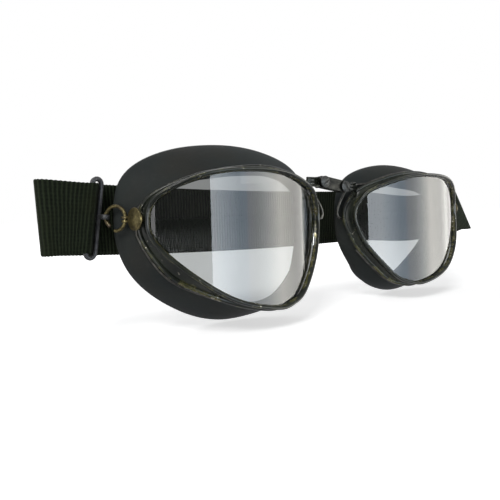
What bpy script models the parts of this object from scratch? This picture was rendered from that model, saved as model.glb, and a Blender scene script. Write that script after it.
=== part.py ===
"""Flying goggles: curved lenses in metal frames, rubber cushions, a jointed bridge and a strap.

Metres, +Z up. The wearer looks along -Y, so the wearer's right eye is at -X.
The origin is the centre of the bridge link's front face, in the plane of symmetry.
"""

import math

import bmesh
import bpy
import numpy as np
from mathutils import Matrix, Vector

# Clearances and sampling
GAP = 0.0003
OVERRUN = 0.004
LOOP_POINTS = 48
SIDES = {"right": -1, "left": 1}

# Lens: a plate bent round an upright cylinder, behind a teardrop opening
EYE_X = 0.0535
LENS_RADIUS = 0.0681
LENS_FRONT_Y = -0.0135
LENS_AXIS_Y = LENS_FRONT_Y + LENS_RADIUS
OPENING_HALF_ARC = 0.0422
OPENING_HALF_HEIGHT = 0.0256
OPENING_END_ANGLE = OPENING_HALF_ARC / LENS_RADIUS
TEMPLE_EDGE_X = EYE_X + LENS_RADIUS * math.sin(OPENING_END_ANGLE)
NOSE_EDGE_X = EYE_X - LENS_RADIUS * math.sin(OPENING_END_ANGLE)
END_EDGE_Y = LENS_AXIS_Y - LENS_RADIUS * math.cos(OPENING_END_ANGLE)
OPENING_SHIFT_U = 0.00075
OPENING_CENTRE_Z = -0.0222
OPENING_SHARES = (
    (0.999, 0.316),
    (0.901, 0.612),
    (0.717, 0.781),
    (0.309, 0.961),
    (-0.112, 0.997),
    (-0.532, 0.915),
    (-0.914, 0.635),
    (-0.999, 0.328),
    (-0.927, 0.006),
    (-0.613, -0.455),
    (-0.254, -0.821),
    (0.152, -0.999),
    (0.362, -0.969),
    (0.553, -0.824),
    (0.841, -0.32),
    (0.945, -0.017),
)
LENS_LAP = 0.0011
LENS_SINK = 0.0006
LENS_THICKNESS = 0.001
LENS_STRIPS = 26

# Front rim: a rolled channel that holds the lens's edge
RIM_WIDTH = 0.0017
RIM_PROUD = 0.0018
RIM_WALL = 0.0004
RIM_LIP = 0.00065
RIM_SKIRT = 0.0016

# Frame: a side wall behind the rim, with a front ledge for the lens and a rolled rear edge
FRAME_LEDGE_INSET = 0.0004
FRAME_SHEET = 0.0007
FRAME_FRONT_OFFSET = 0.0018
FRAME_REAR_SPREAD = 0.0042
FRAME_DEPTH = 0.0055
FRAME_SPREAD_SHARES = (
    (0, 0.45),
    (36, 0.5),
    (72, 0.56),
    (90, 0.5),
    (104, 0.34),
    (118, 0.26),
    (150, 0.27),
    (166, 0.34),
    (180, 0.5),
    (194, 0.84),
    (206, 1.0),
    (220, 0.78),
    (236, 0.55),
    (252, 0.42),
    (285, 0.47),
    (330, 0.44),
)
BEAD_RADIUS = 0.0007

# Cushion: a hollow moulded rubber cup from the frame to the face
CUSHION_TONGUE_WALL = 0.0008
CUSHION_TONGUE_REACH = 0.0006
NECK_PROUD = -0.0006
CUSHION_DEPTH = 0.01234
CUSHION_NOSE_Y = END_EDGE_Y + CUSHION_DEPTH
CUSHION_NOSE_X = 0.010
CUSHION_SLOPE_SHARE = 0.053
CUSHION_EDGE_ROUND = 0.0011
CUSHION_SWELL_SHARE = 0.52
CUSHION_SWELL = 0.0012
CUSHION_SWELL_LIMIT_SHARE = 0.25
FACE_SHIFT_X = 0.0012
FACE_MID_X = EYE_X + FACE_SHIFT_X
FACE_MID_Z = -0.0200
FACE_OVERHANG = 0.0032
FACE_HALF_WIDTH = OPENING_HALF_ARC + FACE_OVERHANG
FACE_HALF_HEIGHT = 0.0369
SETTLED_TOP_SHARES = {"right": 1.0, "left": 0.86}
FACE_OUTLINE_SHARES = (
    (1.004, 0.16),
    (0.972, -0.19),
    (0.797, -0.517),
    (0.611, -0.76),
    (0.349, -0.924),
    (0.022, -0.995),
    (-0.306, -0.908),
    (-0.633, -0.68),
    (-0.862, -0.409),
    (-0.976, -0.111),
    (-1.0, 0.214),
    (-0.962, 0.566),
    (-0.797, 0.783),
    (-0.502, 0.935),
    (-0.153, 1.005),
    (0.218, 1.005),
    (0.568, 0.919),
    (0.83, 0.77),
    (0.961, 0.539),
)
INNER_MID_X = 0.053
INNER_MID_Z = -0.0232
INNER_INSET = 0.0056
INNER_HALF_WIDTH = OPENING_HALF_ARC - INNER_INSET
INNER_HALF_HEIGHT = 0.0267
INNER_OUTLINE_SHARES = (
    (1.0, 0.3),
    (0.95, 0.75),
    (0.62, 0.99),
    (0.13, 0.99),
    (-0.28, 0.93),
    (-0.72, 0.86),
    (-0.98, 0.66),
    (-1.0, 0.12),
    (-0.79, -0.26),
    (-0.44, -0.58),
    (-0.08, -0.84),
    (0.27, -1.0),
    (0.58, -0.96),
    (0.85, -0.7),
    (0.96, -0.25),
)

# Retaining wire: sits behind the frame's rolled edge and clamps the cushion's neck
CLAMP_WIRE_RADIUS = 0.00055
CLAMP_TOP_X = 0.0208
CLAMP_LOW_Z = -0.0290
HOOK_X = 0.0047
HOOK_Y = 0.0038
HOOK_TOP_Z = -0.0022
HOOK_DROP = 0.0111
HOOK_SPREAD = 0.0070
HOOK_SHARES = ((0.36, 1.25), (0.12, 1.2), (0.0, 1.0), (0.25, 0.62), (1.0, 0.0))
HOOK_PASS_X = 0.0163
HOOK_PASS_Z = -0.0002

# Bridge: two lugs and two link plates pivot on two slotted screws
PIVOT_X = 0.0066
PIVOT_RISES = {"right": 0.00105, "left": -0.00105}
LINK_THICKNESS = 0.001
LINK_RADIUS = 0.0027
LUG_THICKNESS = 0.0012
LUG_RADIUS = 0.0028
LUG_HALF_HEIGHT = 0.0022
LUG_PAST_NOSE = 0.00135
LUG_REACH = NOSE_EDGE_X - PIVOT_X + LUG_PAST_NOSE
LUG_FOOT_PROUD = 0.0007
LUG_FOOT_REACH = LUG_REACH + LUG_FOOT_PROUD
LUG_FOOT_DROP = 0.0020
LUG_RIB_HEIGHT = 0.0005
LUG_RIB_WIDTH = 0.0008
LUG_RIB_SPACING = 0.0015
SCREW_RADIUS = 0.0011
SCREW_CLEARANCE = 0.0002
HEAD_RADIUS = 0.0027
HEAD_HEIGHT = 0.0012
HEAD_EDGE = 0.0005
SLOT_WIDTH = 0.0006
SLOT_DEPTH = 0.0006
SLOT_ANGLES = {"right": math.radians(28), "left": math.radians(-64)}
NUT_RADIUS = 0.0026
NUT_THICKNESS = 0.0015

# Temple fitting: a domed rivet over a folded clip, whose eye holds the ring
TEMPLE_Z = -0.0130
TEMPLE_OUT = 0.00065
TEMPLE_BACK = 0.00424
TEMPLE_ANGLE = math.radians(10)
CLIP_SHEET = 0.0006
CLIP_HEIGHT = 0.0022
CLIP_PATH = ((-0.0024, 0.00085), (-0.0009, 0.0009), (0.0016, 0.0023), (0.0046, 0.0023))
CLIP_EYE_ALONG = 0.0047
CLIP_EYE_OUT = 0.0034
CLIP_EYE_OUTER = 0.0015
CLIP_EYE_INNER = 0.00105
CLIP_SLOT = 0.0006
CLIP_SLOT_START = 0.0020
RIVET_RADIUS = 0.0041
RIVET_EDGE = 0.00045
RIVET_DOME = 0.0011
RIVET_SHANK = 0.00045
RIVET_SHANK_END = 0.00095
RIVET_ALONG = -0.0010
RIVET_SEAT = 0.0029

# Split ring
RING_SPAN = 0.0089
RING_RISE = 0.0004
RING_WIRE_RADIUS = 0.0006
RING_TURN = math.radians(31)
RING_START = math.radians(-95)
RING_END = math.radians(150)
RING_TAIL_IN = 0.0052
RING_TAIL_DROP = 0.0029

# Strap frame: a wire link with an eye towards the ring
LINK_WIRE_RADIUS = 0.00095
LINK_BAR_HALF = 0.0126
LINK_BAR_SPACING = 0.0037
LINK_EYE_REACH = 0.0033
LINK_LEAN = math.radians(7)
LINK_EYE_ANGLE = math.radians(33)
LINK_ANGLE = math.radians(16)
EYE_TAB_RADIUS = 0.00145
EYE_TAB_RISE = 0.0006
LINK_DROP = 0.0007
EYE_HOLE_RADIUS = 0.00095
EYE_TAB_HEIGHT = 0.0018

# Strap: one elastic webbing, folded round each strap frame's rear bar and lying flat behind the cushions
STRAP_WIDTH = 0.0268
STRAP_BAR_WIDTH = 0.0254
STRAP_THICKNESS = 0.0011
STRAP_BACK_STEP = 0.0044
STRAP_BAR_Z = -0.0121
STRAP_FOLD_Z = -0.0116
STRAP_SAG = 0.0040
STRAP_TAIL = 0.0052
STRAP_FOLD_REACH = {"right": 0.0172, "left": 0.0256}
STRAP_LEANS = {"right": -0.0009, "left": 0.0094}
STRAP_WRAP_LEAN = 0.0016
STRAP_LEAN_RUN = 0.060
STRAP_FRONT_DRIFT = 0.0006
STRAP_SETTLES = {"right": 0, "left": 0.0042}
STRAP_SETTLE_START = 0.030
STRAP_SETTLE_RUN = 0.060
STRAP_TIP_RISES = {"right": 0, "left": 0.0026}
STRAP_TIP_START = 0.112
STRAP_TIP_RUN = 0.026

RUBBER = ("rubber", (0.032, 0.035, 0.034), 0.62, 0.0)
OLIVE = ("olive_paint", (0.050, 0.053, 0.036), 0.48, 0.35)
STEEL = ("dark_steel", (0.075, 0.075, 0.078), 0.42, 0.85)
BRASS = ("aged_brass", (0.150, 0.125, 0.055), 0.46, 0.9)
GLASS = ("clear_lens", (0.86, 0.90, 0.92), 0.03, 0.0)
WEBBING = ("webbing", (0.020, 0.026, 0.018), 0.88, 0.0)


def material(look):
    name, colour, roughness, metallic = look
    found = bpy.data.materials.get(name)
    if found:
        return found
    made = bpy.data.materials.new(name)
    made.use_nodes = True
    shader = made.node_tree.nodes["Principled BSDF"]
    shader.inputs["Base Color"].default_value = (*colour, 1)
    shader.inputs["Roughness"].default_value = roughness
    shader.inputs["Metallic"].default_value = metallic
    if look is GLASS:
        shader.inputs["Transmission Weight"].default_value = 1
    return made


def add_object(name, mesh, look, cutter=False):
    mesh.materials.append(material(look))
    mesh.shade_smooth()
    mesh.set_sharp_from_angle(angle=math.radians(38))
    made = bpy.data.objects.new(name, mesh)
    bpy.data.collections["cutters" if cutter else "flying_goggles"].objects.link(made)
    if cutter:
        made.hide_render = True
        made.display_type = "WIRE"
    return made


def closed_curve(points, count):
    """A smooth closed curve through the points, as evenly spaced samples."""
    points = np.array(points, float)
    dense = []
    steps = np.linspace(0, 1, 24, endpoint=False)[:, None]
    for i in range(len(points)):
        a, b, c, d = (points[(i + k) % len(points)] for k in (-1, 0, 1, 2))
        dense.append(
            b
            + steps * (c - a) / 2
            + steps**2 * (2 * a - 5 * b + 4 * c - d) / 2
            + steps**3 * (3 * b - 3 * c + d - a) / 2
        )
    return even(np.vstack(dense), count, closed=True)


def even(points, count, closed=False):
    """The path resampled at even steps of its length."""
    path = np.vstack([points, points[:1]]) if closed else np.array(points, float)
    length = np.r_[0, np.cumsum(np.linalg.norm(np.diff(path, axis=0), axis=1))]
    at = np.linspace(0, length[-1], count, endpoint=not closed)
    return np.stack([np.interp(at, length, column) for column in path.T], axis=1)


def smooth_path(points, count):
    """A smooth open curve through the points, as evenly spaced samples."""
    points = np.array(points, float)
    ends = np.vstack([2 * points[0] - points[1], points, 2 * points[-1] - points[-2]])
    steps = np.linspace(0, 1, 12, endpoint=False)[:, None]
    dense = []
    for i in range(1, len(ends) - 2):
        a, b, c, d = ends[i - 1 : i + 3]
        dense.append(
            b
            + steps * (c - a) / 2
            + steps**2 * (2 * a - 5 * b + 4 * c - d) / 2
            + steps**3 * (3 * b - 3 * c + d - a) / 2
        )
    return even(np.vstack([*dense, ends[-2]]), count)


def grown(loop, amount):
    """The closed outline moved outward by the amount, one for all or one a point."""
    step = np.roll(loop, -1, axis=0) - np.roll(loop, 1, axis=0)
    normal = np.stack([step[:, 1], -step[:, 0]], axis=1)
    normal /= np.linalg.norm(normal, axis=1)[:, None]
    return loop + normal * np.reshape(amount, (-1, 1))


def opening():
    shares = np.array(OPENING_SHARES)
    return closed_curve(
        np.stack(
            [
                OPENING_SHIFT_U + OPENING_HALF_ARC * shares[:, 0],
                OPENING_CENTRE_Z + OPENING_HALF_HEIGHT * shares[:, 1],
            ],
            axis=1,
        ),
        LOOP_POINTS,
    )


def on_lens(loop, rise=0.0, back=0.0):
    """(arc, height) points laid on the right eye's lens cylinder, raised from it or moved back."""
    angle = loop[:, 0] / LENS_RADIUS
    radius = LENS_RADIUS + rise
    return np.stack(
        [-EYE_X + radius * np.sin(angle), LENS_AXIS_Y - radius * np.cos(angle) + back, loop[:, 1]],
        axis=1,
    )


def sided(points, side):
    """Points of the right eye, mirrored for the left one."""
    return np.array(points, float) * np.array([-SIDES[side], 1, 1])


def loft(name, loops, look, side, cutter=False, ring=True):
    """A closed body through equal loops: round like a ring, or capped at its first and last loop."""
    bm = bmesh.new()
    rows = [[bm.verts.new(point) for point in sided(loop, side)] for loop in loops]
    pairs = list(zip(rows, rows[1:]))
    if ring:
        pairs.append((rows[-1], rows[0]))
    else:
        bm.faces.new(rows[0])
        bm.faces.new(rows[-1])
    for a, b in pairs:
        for i in range(len(a)):
            j = (i + 1) % len(a)
            bm.faces.new((a[i], a[j], b[j], b[i]))
    bmesh.ops.recalc_face_normals(bm, faces=bm.faces)
    return finish_mesh(name, bm, look, cutter)


def finish_mesh(name, bm, look, cutter=False):
    mesh = bpy.data.meshes.new(name)
    bm.to_mesh(mesh)
    bm.free()
    return add_object(name, mesh, look, cutter)


def wire(name, points, radius, look, cyclic=False):
    """A round wire along the points, as a mesh."""
    curve = bpy.data.curves.new(name, "CURVE")
    curve.dimensions = "3D"
    curve.bevel_depth = radius
    curve.bevel_resolution = 2
    curve.use_fill_caps = True
    spline = curve.splines.new("POLY")
    spline.points.add(len(points) - 1)
    for target, point in zip(spline.points, points):
        target.co = (*point, 1)
    spline.use_cyclic_u = cyclic
    holder = bpy.data.objects.new(name + "_curve", curve)
    bpy.data.collections["cutters"].objects.link(holder)
    bpy.context.view_layer.update()
    evaluated = holder.evaluated_get(bpy.context.evaluated_depsgraph_get())
    mesh = bpy.data.meshes.new_from_object(evaluated)
    mesh.materials.clear()
    bpy.data.objects.remove(holder)
    bm = bmesh.new()
    bm.from_mesh(mesh)
    bmesh.ops.remove_doubles(bm, verts=bm.verts, dist=radius * 0.01)
    bmesh.ops.recalc_face_normals(bm, faces=bm.faces)
    bm.to_mesh(mesh)
    bm.free()
    return add_object(name, mesh, look)


def prism(name, outline, low, high, look, place=Matrix.Identity(4), cutter=False):
    """A flat outline extruded from low to high along its own normal, then placed."""
    bm = bmesh.new()
    face = bm.faces.new([bm.verts.new((x, y, low)) for x, y in outline])
    top = bmesh.ops.extrude_face_region(bm, geom=[face])["geom"]
    moved = [item for item in top if isinstance(item, bmesh.types.BMVert)]
    bmesh.ops.translate(bm, verts=moved, vec=(0, 0, high - low))
    bmesh.ops.transform(bm, matrix=place, verts=bm.verts)
    bmesh.ops.recalc_face_normals(bm, faces=bm.faces)
    return finish_mesh(name, bm, look, cutter)


def arc(centre, radius, start, end, count):
    angles = np.linspace(start, end, count)
    return [(centre[0] + radius * math.cos(a), centre[1] + radius * math.sin(a)) for a in angles]


def cylinder(name, radius, low, high, look, place, sides=24, cutter=False):
    outline = arc((0, 0), radius, 0, 2 * math.pi, sides + 1)[:-1]
    return prism(name, outline, low, high, look, place, cutter)


def turned(name, profile, look, place, steps=24):
    """A (radius, height) profile, outer side from top to bottom, turned round its own Z axis."""
    mesh = bpy.data.meshes.new(name)
    edges = [(i, i + 1) for i in range(len(profile) - 1)]
    mesh.from_pydata([(radius, 0, height) for radius, height in profile], edges, [])
    made = add_object(name, mesh, look)
    made.matrix_world = place
    screw = made.modifiers.new("turn", "SCREW")
    screw.steps = steps
    screw.render_steps = steps
    screw.use_merge_vertices = True
    screw.merge_threshold = 0.00001
    return made


def cut(target, tool, operation="DIFFERENCE"):
    boolean = target.modifiers.new(operation.lower(), "BOOLEAN")
    boolean.operation = operation
    boolean.solver = "EXACT"
    boolean.object = tool


def facing_front(x, z, y=0.0):
    """A frame whose Z runs towards the viewer, -Y, and whose Y is up."""
    return Matrix.Translation((x, y, z)) @ Matrix.Rotation(math.pi / 2, 4, "X")


def frame_offsets(loop):
    """How far the frame's rear edge stands outside the opening: widest at the lower temple."""
    shares = np.array(FRAME_SPREAD_SHARES)
    aspect = OPENING_HALF_ARC / OPENING_HALF_HEIGHT
    across = (loop[:, 1] - OPENING_CENTRE_Z) * aspect
    angle = np.degrees(np.arctan2(across, loop[:, 0] - OPENING_SHIFT_U))
    spread = np.interp(angle % 360, shares[:, 0], shares[:, 1], period=360)
    spread = (np.roll(spread, 1) + 2 * spread + np.roll(spread, -1)) / 4
    return FRAME_REAR_SPREAD * spread


def make_lens(side):
    edge = grown(opening(), LENS_LAP)
    bm = bmesh.new()
    face = bm.faces.new([bm.verts.new((u, 0, z)) for u, z in edge])
    top = bmesh.ops.extrude_face_region(bm, geom=[face])["geom"]
    moved = [item for item in top if isinstance(item, bmesh.types.BMVert)]
    bmesh.ops.translate(bm, verts=moved, vec=(0, LENS_THICKNESS, 0))
    low, high = edge[:, 0].min(), edge[:, 0].max()
    for step in range(1, LENS_STRIPS):
        at = low + (high - low) * step / LENS_STRIPS
        geometry = bm.verts[:] + bm.edges[:] + bm.faces[:]
        bmesh.ops.bisect_plane(
            bm, geom=geometry, plane_co=(at, 0, 0), plane_no=(1, 0, 0), dist=GAP * 0.01
        )
    for vert in bm.verts:
        flat = np.array([[vert.co.x, vert.co.z]])
        vert.co = sided(on_lens(flat, rise=-LENS_SINK - vert.co.y), side)[0]
    bmesh.ops.recalc_face_normals(bm, faces=bm.faces)
    return finish_mesh("lens_" + side, bm, GLASS)


def make_rim(side):
    loop = opening()
    inner = RIM_WIDTH - RIM_WALL
    section = (
        (0, -RIM_WALL),
        (0, RIM_LIP - RIM_WALL),
        (RIM_WIDTH * 0.19, RIM_PROUD * 0.68),
        (RIM_WIDTH * 0.5, RIM_PROUD),
        (RIM_WIDTH * 0.83, RIM_PROUD * 0.86),
        (RIM_WIDTH, RIM_PROUD * 0.45),
        (RIM_WIDTH, -RIM_SKIRT),
        (inner, -RIM_SKIRT),
        (inner, -GAP),
    )
    loops = [on_lens(grown(loop, offset), rise=rise) for offset, rise in section]
    return loft("rim_" + side, loops, OLIVE, side)


def frame_wall(loop):
    """The wall's outer side: front edge, rear edge, outward normal and the way back along it."""
    ledge = LENS_SINK + LENS_THICKNESS + GAP
    front = on_lens(grown(loop, FRAME_FRONT_OFFSET), rise=-ledge)
    rear = on_lens(grown(loop, frame_offsets(loop)), back=FRAME_DEPTH - 2 * BEAD_RADIUS)
    tangent = np.roll(rear, -1, axis=0) - np.roll(rear, 1, axis=0)
    normal = np.cross(rear - front, tangent)
    normal /= np.linalg.norm(normal, axis=1)[:, None]
    if np.sum(normal[:, 2] * (rear[:, 2] - rear[:, 2].mean())) < 0:
        normal = -normal
    backward = (rear - front) / np.linalg.norm(rear - front, axis=1)[:, None]
    return front, rear, normal, backward


def frame_bead(rear, normal, backward, extra=0.0):
    """The rolled rear edge, from the wall's outer side round to its back."""
    return [
        rear + normal * (out * BEAD_RADIUS + extra) + backward * (BEAD_RADIUS + extra / 2) * behind
        for out, behind in ((1, 0.6), (1.4, 1.7), (1, 2.7))
    ]


def make_frame(side):
    loop = opening()
    ledge = LENS_SINK + LENS_THICKNESS + GAP
    front, rear, normal, backward = frame_wall(loop)
    loops = [
        on_lens(grown(loop, FRAME_LEDGE_INSET), rise=-ledge),
        front,
        rear,
        *frame_bead(rear, normal, backward),
        rear + (backward * 2.7 - normal * 0.4) * BEAD_RADIUS,
        rear - normal * FRAME_SHEET + backward * BEAD_RADIUS * 1.7,
        front - normal * FRAME_SHEET + backward * FRAME_SHEET,
        on_lens(grown(loop, FRAME_LEDGE_INSET), rise=-ledge - FRAME_SHEET),
    ]
    made = loft("frame_" + side, loops, OLIVE, side)
    hole = RIVET_SHANK + SCREW_CLEARANCE
    place = temple(side) @ Matrix.Translation((RIVET_ALONG, 0, 0))
    cut(made, cylinder("frame_rivet_hole_" + side, hole, -OVERRUN, OVERRUN, OLIVE, place, 16, cutter=True))
    return made


def face_outline(shares, mid_x, mid_z, half_width, half_height, side):
    """A face-side outline as the right eye's (X, Z), nose first, counter-clockwise like the opening."""
    points = np.array(shares, float)
    height = points[:, 1] * half_height
    height = np.where(height > 0, height * SETTLED_TOP_SHARES[side], height)
    flat = np.stack([-mid_x + points[:, 0] * half_width, mid_z + height], axis=1)
    if flat[1, 1] < flat[0, 1]:
        flat = np.roll(flat[::-1], 1, axis=0)
    return closed_curve(flat, LOOP_POINTS)


def face_loop(flat, forward):
    """The flat outline set on the slanting face side, moved forward from it."""
    distance = np.abs(flat[:, 0])
    y = CUSHION_NOSE_Y + CUSHION_SLOPE_SHARE * (distance - CUSHION_NOSE_X) - forward
    return np.stack([flat[:, 0], y, flat[:, 1]], axis=1)


def aligned(loop, like):
    """The loop started at the point that gives the least twist against another loop."""
    flat = loop[:, [0, 2]]
    target = like[:, [0, 2]]
    flat = flat - flat.mean(axis=0)
    target = target - target.mean(axis=0)
    twists = [np.sum((np.roll(flat, -k, axis=0) - target) ** 2) for k in range(len(loop))]
    return np.roll(loop, -int(np.argmin(twists)), axis=0)


def make_cushion(side):
    _, rear, normal, backward = frame_wall(opening())
    behind = 2.7 * BEAD_RADIUS + GAP
    tongue = rear - normal * (FRAME_SHEET + GAP)
    reach = -backward * CUSHION_TONGUE_REACH
    tail = backward * behind
    outline = face_outline(
        FACE_OUTLINE_SHARES, FACE_MID_X, FACE_MID_Z, FACE_HALF_WIDTH, FACE_HALF_HEIGHT, side
    )
    mouth_flat = face_outline(
        INNER_OUTLINE_SHARES, INNER_MID_X, INNER_MID_Z, INNER_HALF_WIDTH, INNER_HALF_HEIGHT, side
    )
    rim = aligned(face_loop(outline, CUSHION_EDGE_ROUND), rear)
    end = aligned(face_loop(grown(outline, -CUSHION_EDGE_ROUND), 0), rear)
    lip = aligned(face_loop(grown(mouth_flat, CUSHION_EDGE_ROUND), 0), rear)
    mouth = aligned(face_loop(mouth_flat, CUSHION_EDGE_ROUND), rear)
    neck = rear + normal * NECK_PROUD + backward * (behind + 2 * CLAMP_WIRE_RADIUS + 2 * GAP)
    neck[:, 1] = np.minimum(neck[:, 1], rim[:, 1] - GAP)
    outward = rim - rim.mean(axis=0)
    outward /= np.linalg.norm(outward, axis=1)[:, None]
    swell = neck + CUSHION_SWELL_SHARE * (rim - neck)
    swell += outward * np.minimum(CUSHION_SWELL, (rim - neck)[:, [1]] * CUSHION_SWELL_LIMIT_SHARE)
    loops = [
        tongue + reach,
        tongue + tail * 0.9,
        tongue + tail,
        rear + normal * NECK_PROUD + tail,
        neck,
        swell,
        rim,
        end,
        lip,
        mouth,
        tongue - normal * CUSHION_TONGUE_WALL + tail,
        tongue - normal * CUSHION_TONGUE_WALL + reach,
    ]
    return loft("cushion_" + side, loops, RUBBER, side)


def make_clamp_wire(side):
    """Round the cushion's neck, and from the lug down beside the nose, where its end is bent to a hook."""
    _, rear, normal, backward = frame_wall(opening())
    behind = 2.7 * BEAD_RADIUS + GAP + CLAMP_WIRE_RADIUS
    path = rear + normal * (NECK_PROUD + GAP + CLAMP_WIRE_RADIUS) + backward * behind
    nose = path[:, 0] > -EYE_X
    top = np.argmin(np.where(nose & (path[:, 2] > OPENING_CENTRE_Z), np.abs(path[:, 0] + CLAMP_TOP_X), 1))
    low = np.argmin(np.where(nose & (path[:, 2] < OPENING_CENTRE_Z), np.abs(path[:, 2] - CLAMP_LOW_Z), 1))
    run = np.roll(path, -top, axis=0)[: (low - top) % len(path)]
    hook = [
        (-HOOK_X - HOOK_SPREAD * out, HOOK_Y, HOOK_TOP_Z - HOOK_DROP * down) for out, down in HOOK_SHARES
    ]
    hook.append((-HOOK_PASS_X, HOOK_Y, HOOK_PASS_Z))
    points = np.vstack([smooth_path([*hook, run[0]], LOOP_POINTS // 3), run[1:]])
    return wire("clamp_wire_" + side, sided(points, side), CLAMP_WIRE_RADIUS, STEEL)


def temple(side):
    """The temple fitting's frame on the wall: X runs back to the ring, Y is up and Z points outward."""
    along = Vector((-math.sin(TEMPLE_ANGLE), math.cos(TEMPLE_ANGLE), 0))
    outward = Vector((-math.cos(TEMPLE_ANGLE), -math.sin(TEMPLE_ANGLE), 0))
    base = Vector((-TEMPLE_EDGE_X - TEMPLE_OUT, END_EDGE_Y + TEMPLE_BACK, TEMPLE_Z))
    mirror = Matrix.Diagonal((-SIDES[side], 1, 1, 1))
    up = outward.cross(along)
    columns = Matrix((along, up, outward)).transposed().to_4x4()
    return mirror @ Matrix.Translation(base) @ columns


def strip_prism(name, path, thickness, low, high, look, place, cutter=False):
    """A strip of even thickness along a flat path, extruded across it."""
    path = np.array(path, float)
    step = np.gradient(path, axis=0)
    normal = np.stack([-step[:, 1], step[:, 0]], axis=1)
    normal /= np.linalg.norm(normal, axis=1)[:, None]
    half = normal * thickness / 2
    outline = np.vstack([path + half, (path - half)[::-1]])
    return prism(name, outline, low, high, look, place, cutter)


def make_clip(side):
    """Two pressed layers of strip with a rolled eye; the slot leaves two strands round the ring."""
    upright = temple(side) @ Matrix.Rotation(math.pi / 2, 4, "X")
    half = CLIP_HEIGHT / 2
    made = strip_prism("clip_" + side, CLIP_PATH, CLIP_SHEET, -half, half, BRASS, upright)
    at = upright @ Matrix.Translation((CLIP_EYE_ALONG, CLIP_EYE_OUT, 0))
    eye = cylinder("clip_eye_" + side, CLIP_EYE_OUTER, -half, half, BRASS, at, 20, cutter=True)
    bore = cylinder("clip_bore_" + side, CLIP_EYE_INNER, -OVERRUN, OVERRUN, BRASS, at, 20, cutter=True)
    end = CLIP_EYE_ALONG + 2 * CLIP_EYE_OUTER
    low = CLIP_SLOT / 2
    corners = [(CLIP_SLOT_START, -low), (end, -low), (end, low), (CLIP_SLOT_START, low)]
    slot = prism("clip_slot_" + side, corners, -OVERRUN, 2 * OVERRUN, BRASS, temple(side), cutter=True)
    shank = RIVET_SHANK + SCREW_CLEARANCE
    place = temple(side) @ Matrix.Translation((RIVET_ALONG, 0, 0))
    hole = cylinder("clip_hole_" + side, shank, -OVERRUN, OVERRUN, BRASS, place, 16, cutter=True)
    cut(made, eye, "UNION")
    cut(made, bore)
    cut(made, slot)
    cut(made, hole)
    return made


def make_rivet(side):
    seat = RIVET_SEAT
    radius = RIVET_RADIUS
    shares = (0, 0.3, 0.55, 0.76, 0.92)
    dome = [(radius * share, seat + RIVET_EDGE + RIVET_DOME * (1 - share**2)) for share in shares]
    profile = [
        *dome,
        (radius, seat + RIVET_EDGE),
        (radius * 0.97, seat),
        (RIVET_SHANK, seat),
        (RIVET_SHANK, -RIVET_SHANK_END),
        (0, -RIVET_SHANK_END),
    ]
    return turned("rivet_" + side, profile, BRASS, temple(side) @ Matrix.Translation((RIVET_ALONG, 0, 0)))


def ring_frame(side):
    """The ring's frame: origin at its middle, X from the clip's eye to the strap frame's eye, Y up."""
    base = temple(side)
    start = base @ Vector((CLIP_EYE_ALONG, 0, CLIP_EYE_OUT)) + Vector((0, 0, RING_RISE))
    sign = -SIDES[side]
    along = Vector((-sign * math.sin(RING_TURN), math.cos(RING_TURN), 0))
    return start, along


def make_ring(side):
    start, along = ring_frame(side)
    radius = RING_SPAN / 2
    centre = start + along * radius
    up = Vector((0, 0, 1))
    angles = np.linspace(RING_START, RING_END, 20)
    flat = [(-math.cos(a) * radius, math.sin(a) * radius) for a in angles]
    flat += [
        (radius * 0.98, EYE_TAB_RISE + EYE_TAB_HEIGHT * 0.6),
        (radius, EYE_TAB_RISE),
        (radius * 0.98, EYE_TAB_RISE - EYE_TAB_HEIGHT * 0.6),
        (RING_TAIL_IN - radius * 0.35, -EYE_TAB_HEIGHT * 0.95),
        (RING_TAIL_IN - radius * 0.6, -RING_TAIL_DROP),
    ]
    points = [tuple(centre + along * x + up * z) for x, z in flat]
    return wire("ring_" + side, points, RING_WIRE_RADIUS, BRASS)


def strap_frame_points(side):
    """Plan positions of the strap frame: the eye, the front bar and the rear bar."""
    start, along = ring_frame(side)
    sign = -SIDES[side]
    eye = start + along * RING_SPAN + Vector((0, 0, EYE_TAB_RISE))
    bar = eye + Vector((-sign * math.sin(LINK_EYE_ANGLE), math.cos(LINK_EYE_ANGLE), 0)) * LINK_EYE_REACH
    rear = bar + Vector((-sign * math.cos(LINK_ANGLE), -math.sin(LINK_ANGLE), 0)) * LINK_BAR_SPACING
    return eye, bar, rear


def make_strap_frame(side):
    eye, bar, rear = strap_frame_points(side)
    middle = (bar + rear) / 2
    half = (bar - rear) / 2
    points = []
    for end in (1, -1):
        for angle in np.linspace(0, math.pi, 9):
            rise = end * (LINK_BAR_HALF + half.length * math.sin(angle)) - LINK_DROP
            points.append(middle + half * math.cos(angle) * end + Vector((0, 0, rise)))
    tilt = Matrix.Rotation(-SIDES[side] * LINK_LEAN, 4, "Y")
    lean = Matrix.Translation(eye) @ tilt @ Matrix.Translation(-eye)
    points = [tuple(lean @ point) for point in points]
    made = wire("strap_frame_" + side, points, LINK_WIRE_RADIUS, STEEL, cyclic=True)
    height = EYE_TAB_HEIGHT / 2
    place = lean @ Matrix.Translation(eye)
    tab = cylinder("tab_" + side, EYE_TAB_RADIUS, -height, height, STEEL, place, 20, cutter=True)
    neck = LINK_WIRE_RADIUS * 0.9
    turn = math.atan2(bar.y - eye.y, bar.x - eye.x)
    reach = (bar - eye).length
    corners = [(0, -neck), (reach, -neck), (reach, neck), (0, neck)]
    stem_place = place @ Matrix.Rotation(turn, 4, "Z")
    stem = prism("stem_" + side, corners, -height * 0.94, height * 0.94, STEEL, stem_place, cutter=True)
    hole = cylinder("tab_hole_" + side, EYE_HOLE_RADIUS, -OVERRUN, OVERRUN, STEEL, place, 20, cutter=True)
    cut(made, stem, "UNION")
    cut(made, tab, "UNION")
    cut(made, hole)
    return made


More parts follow.
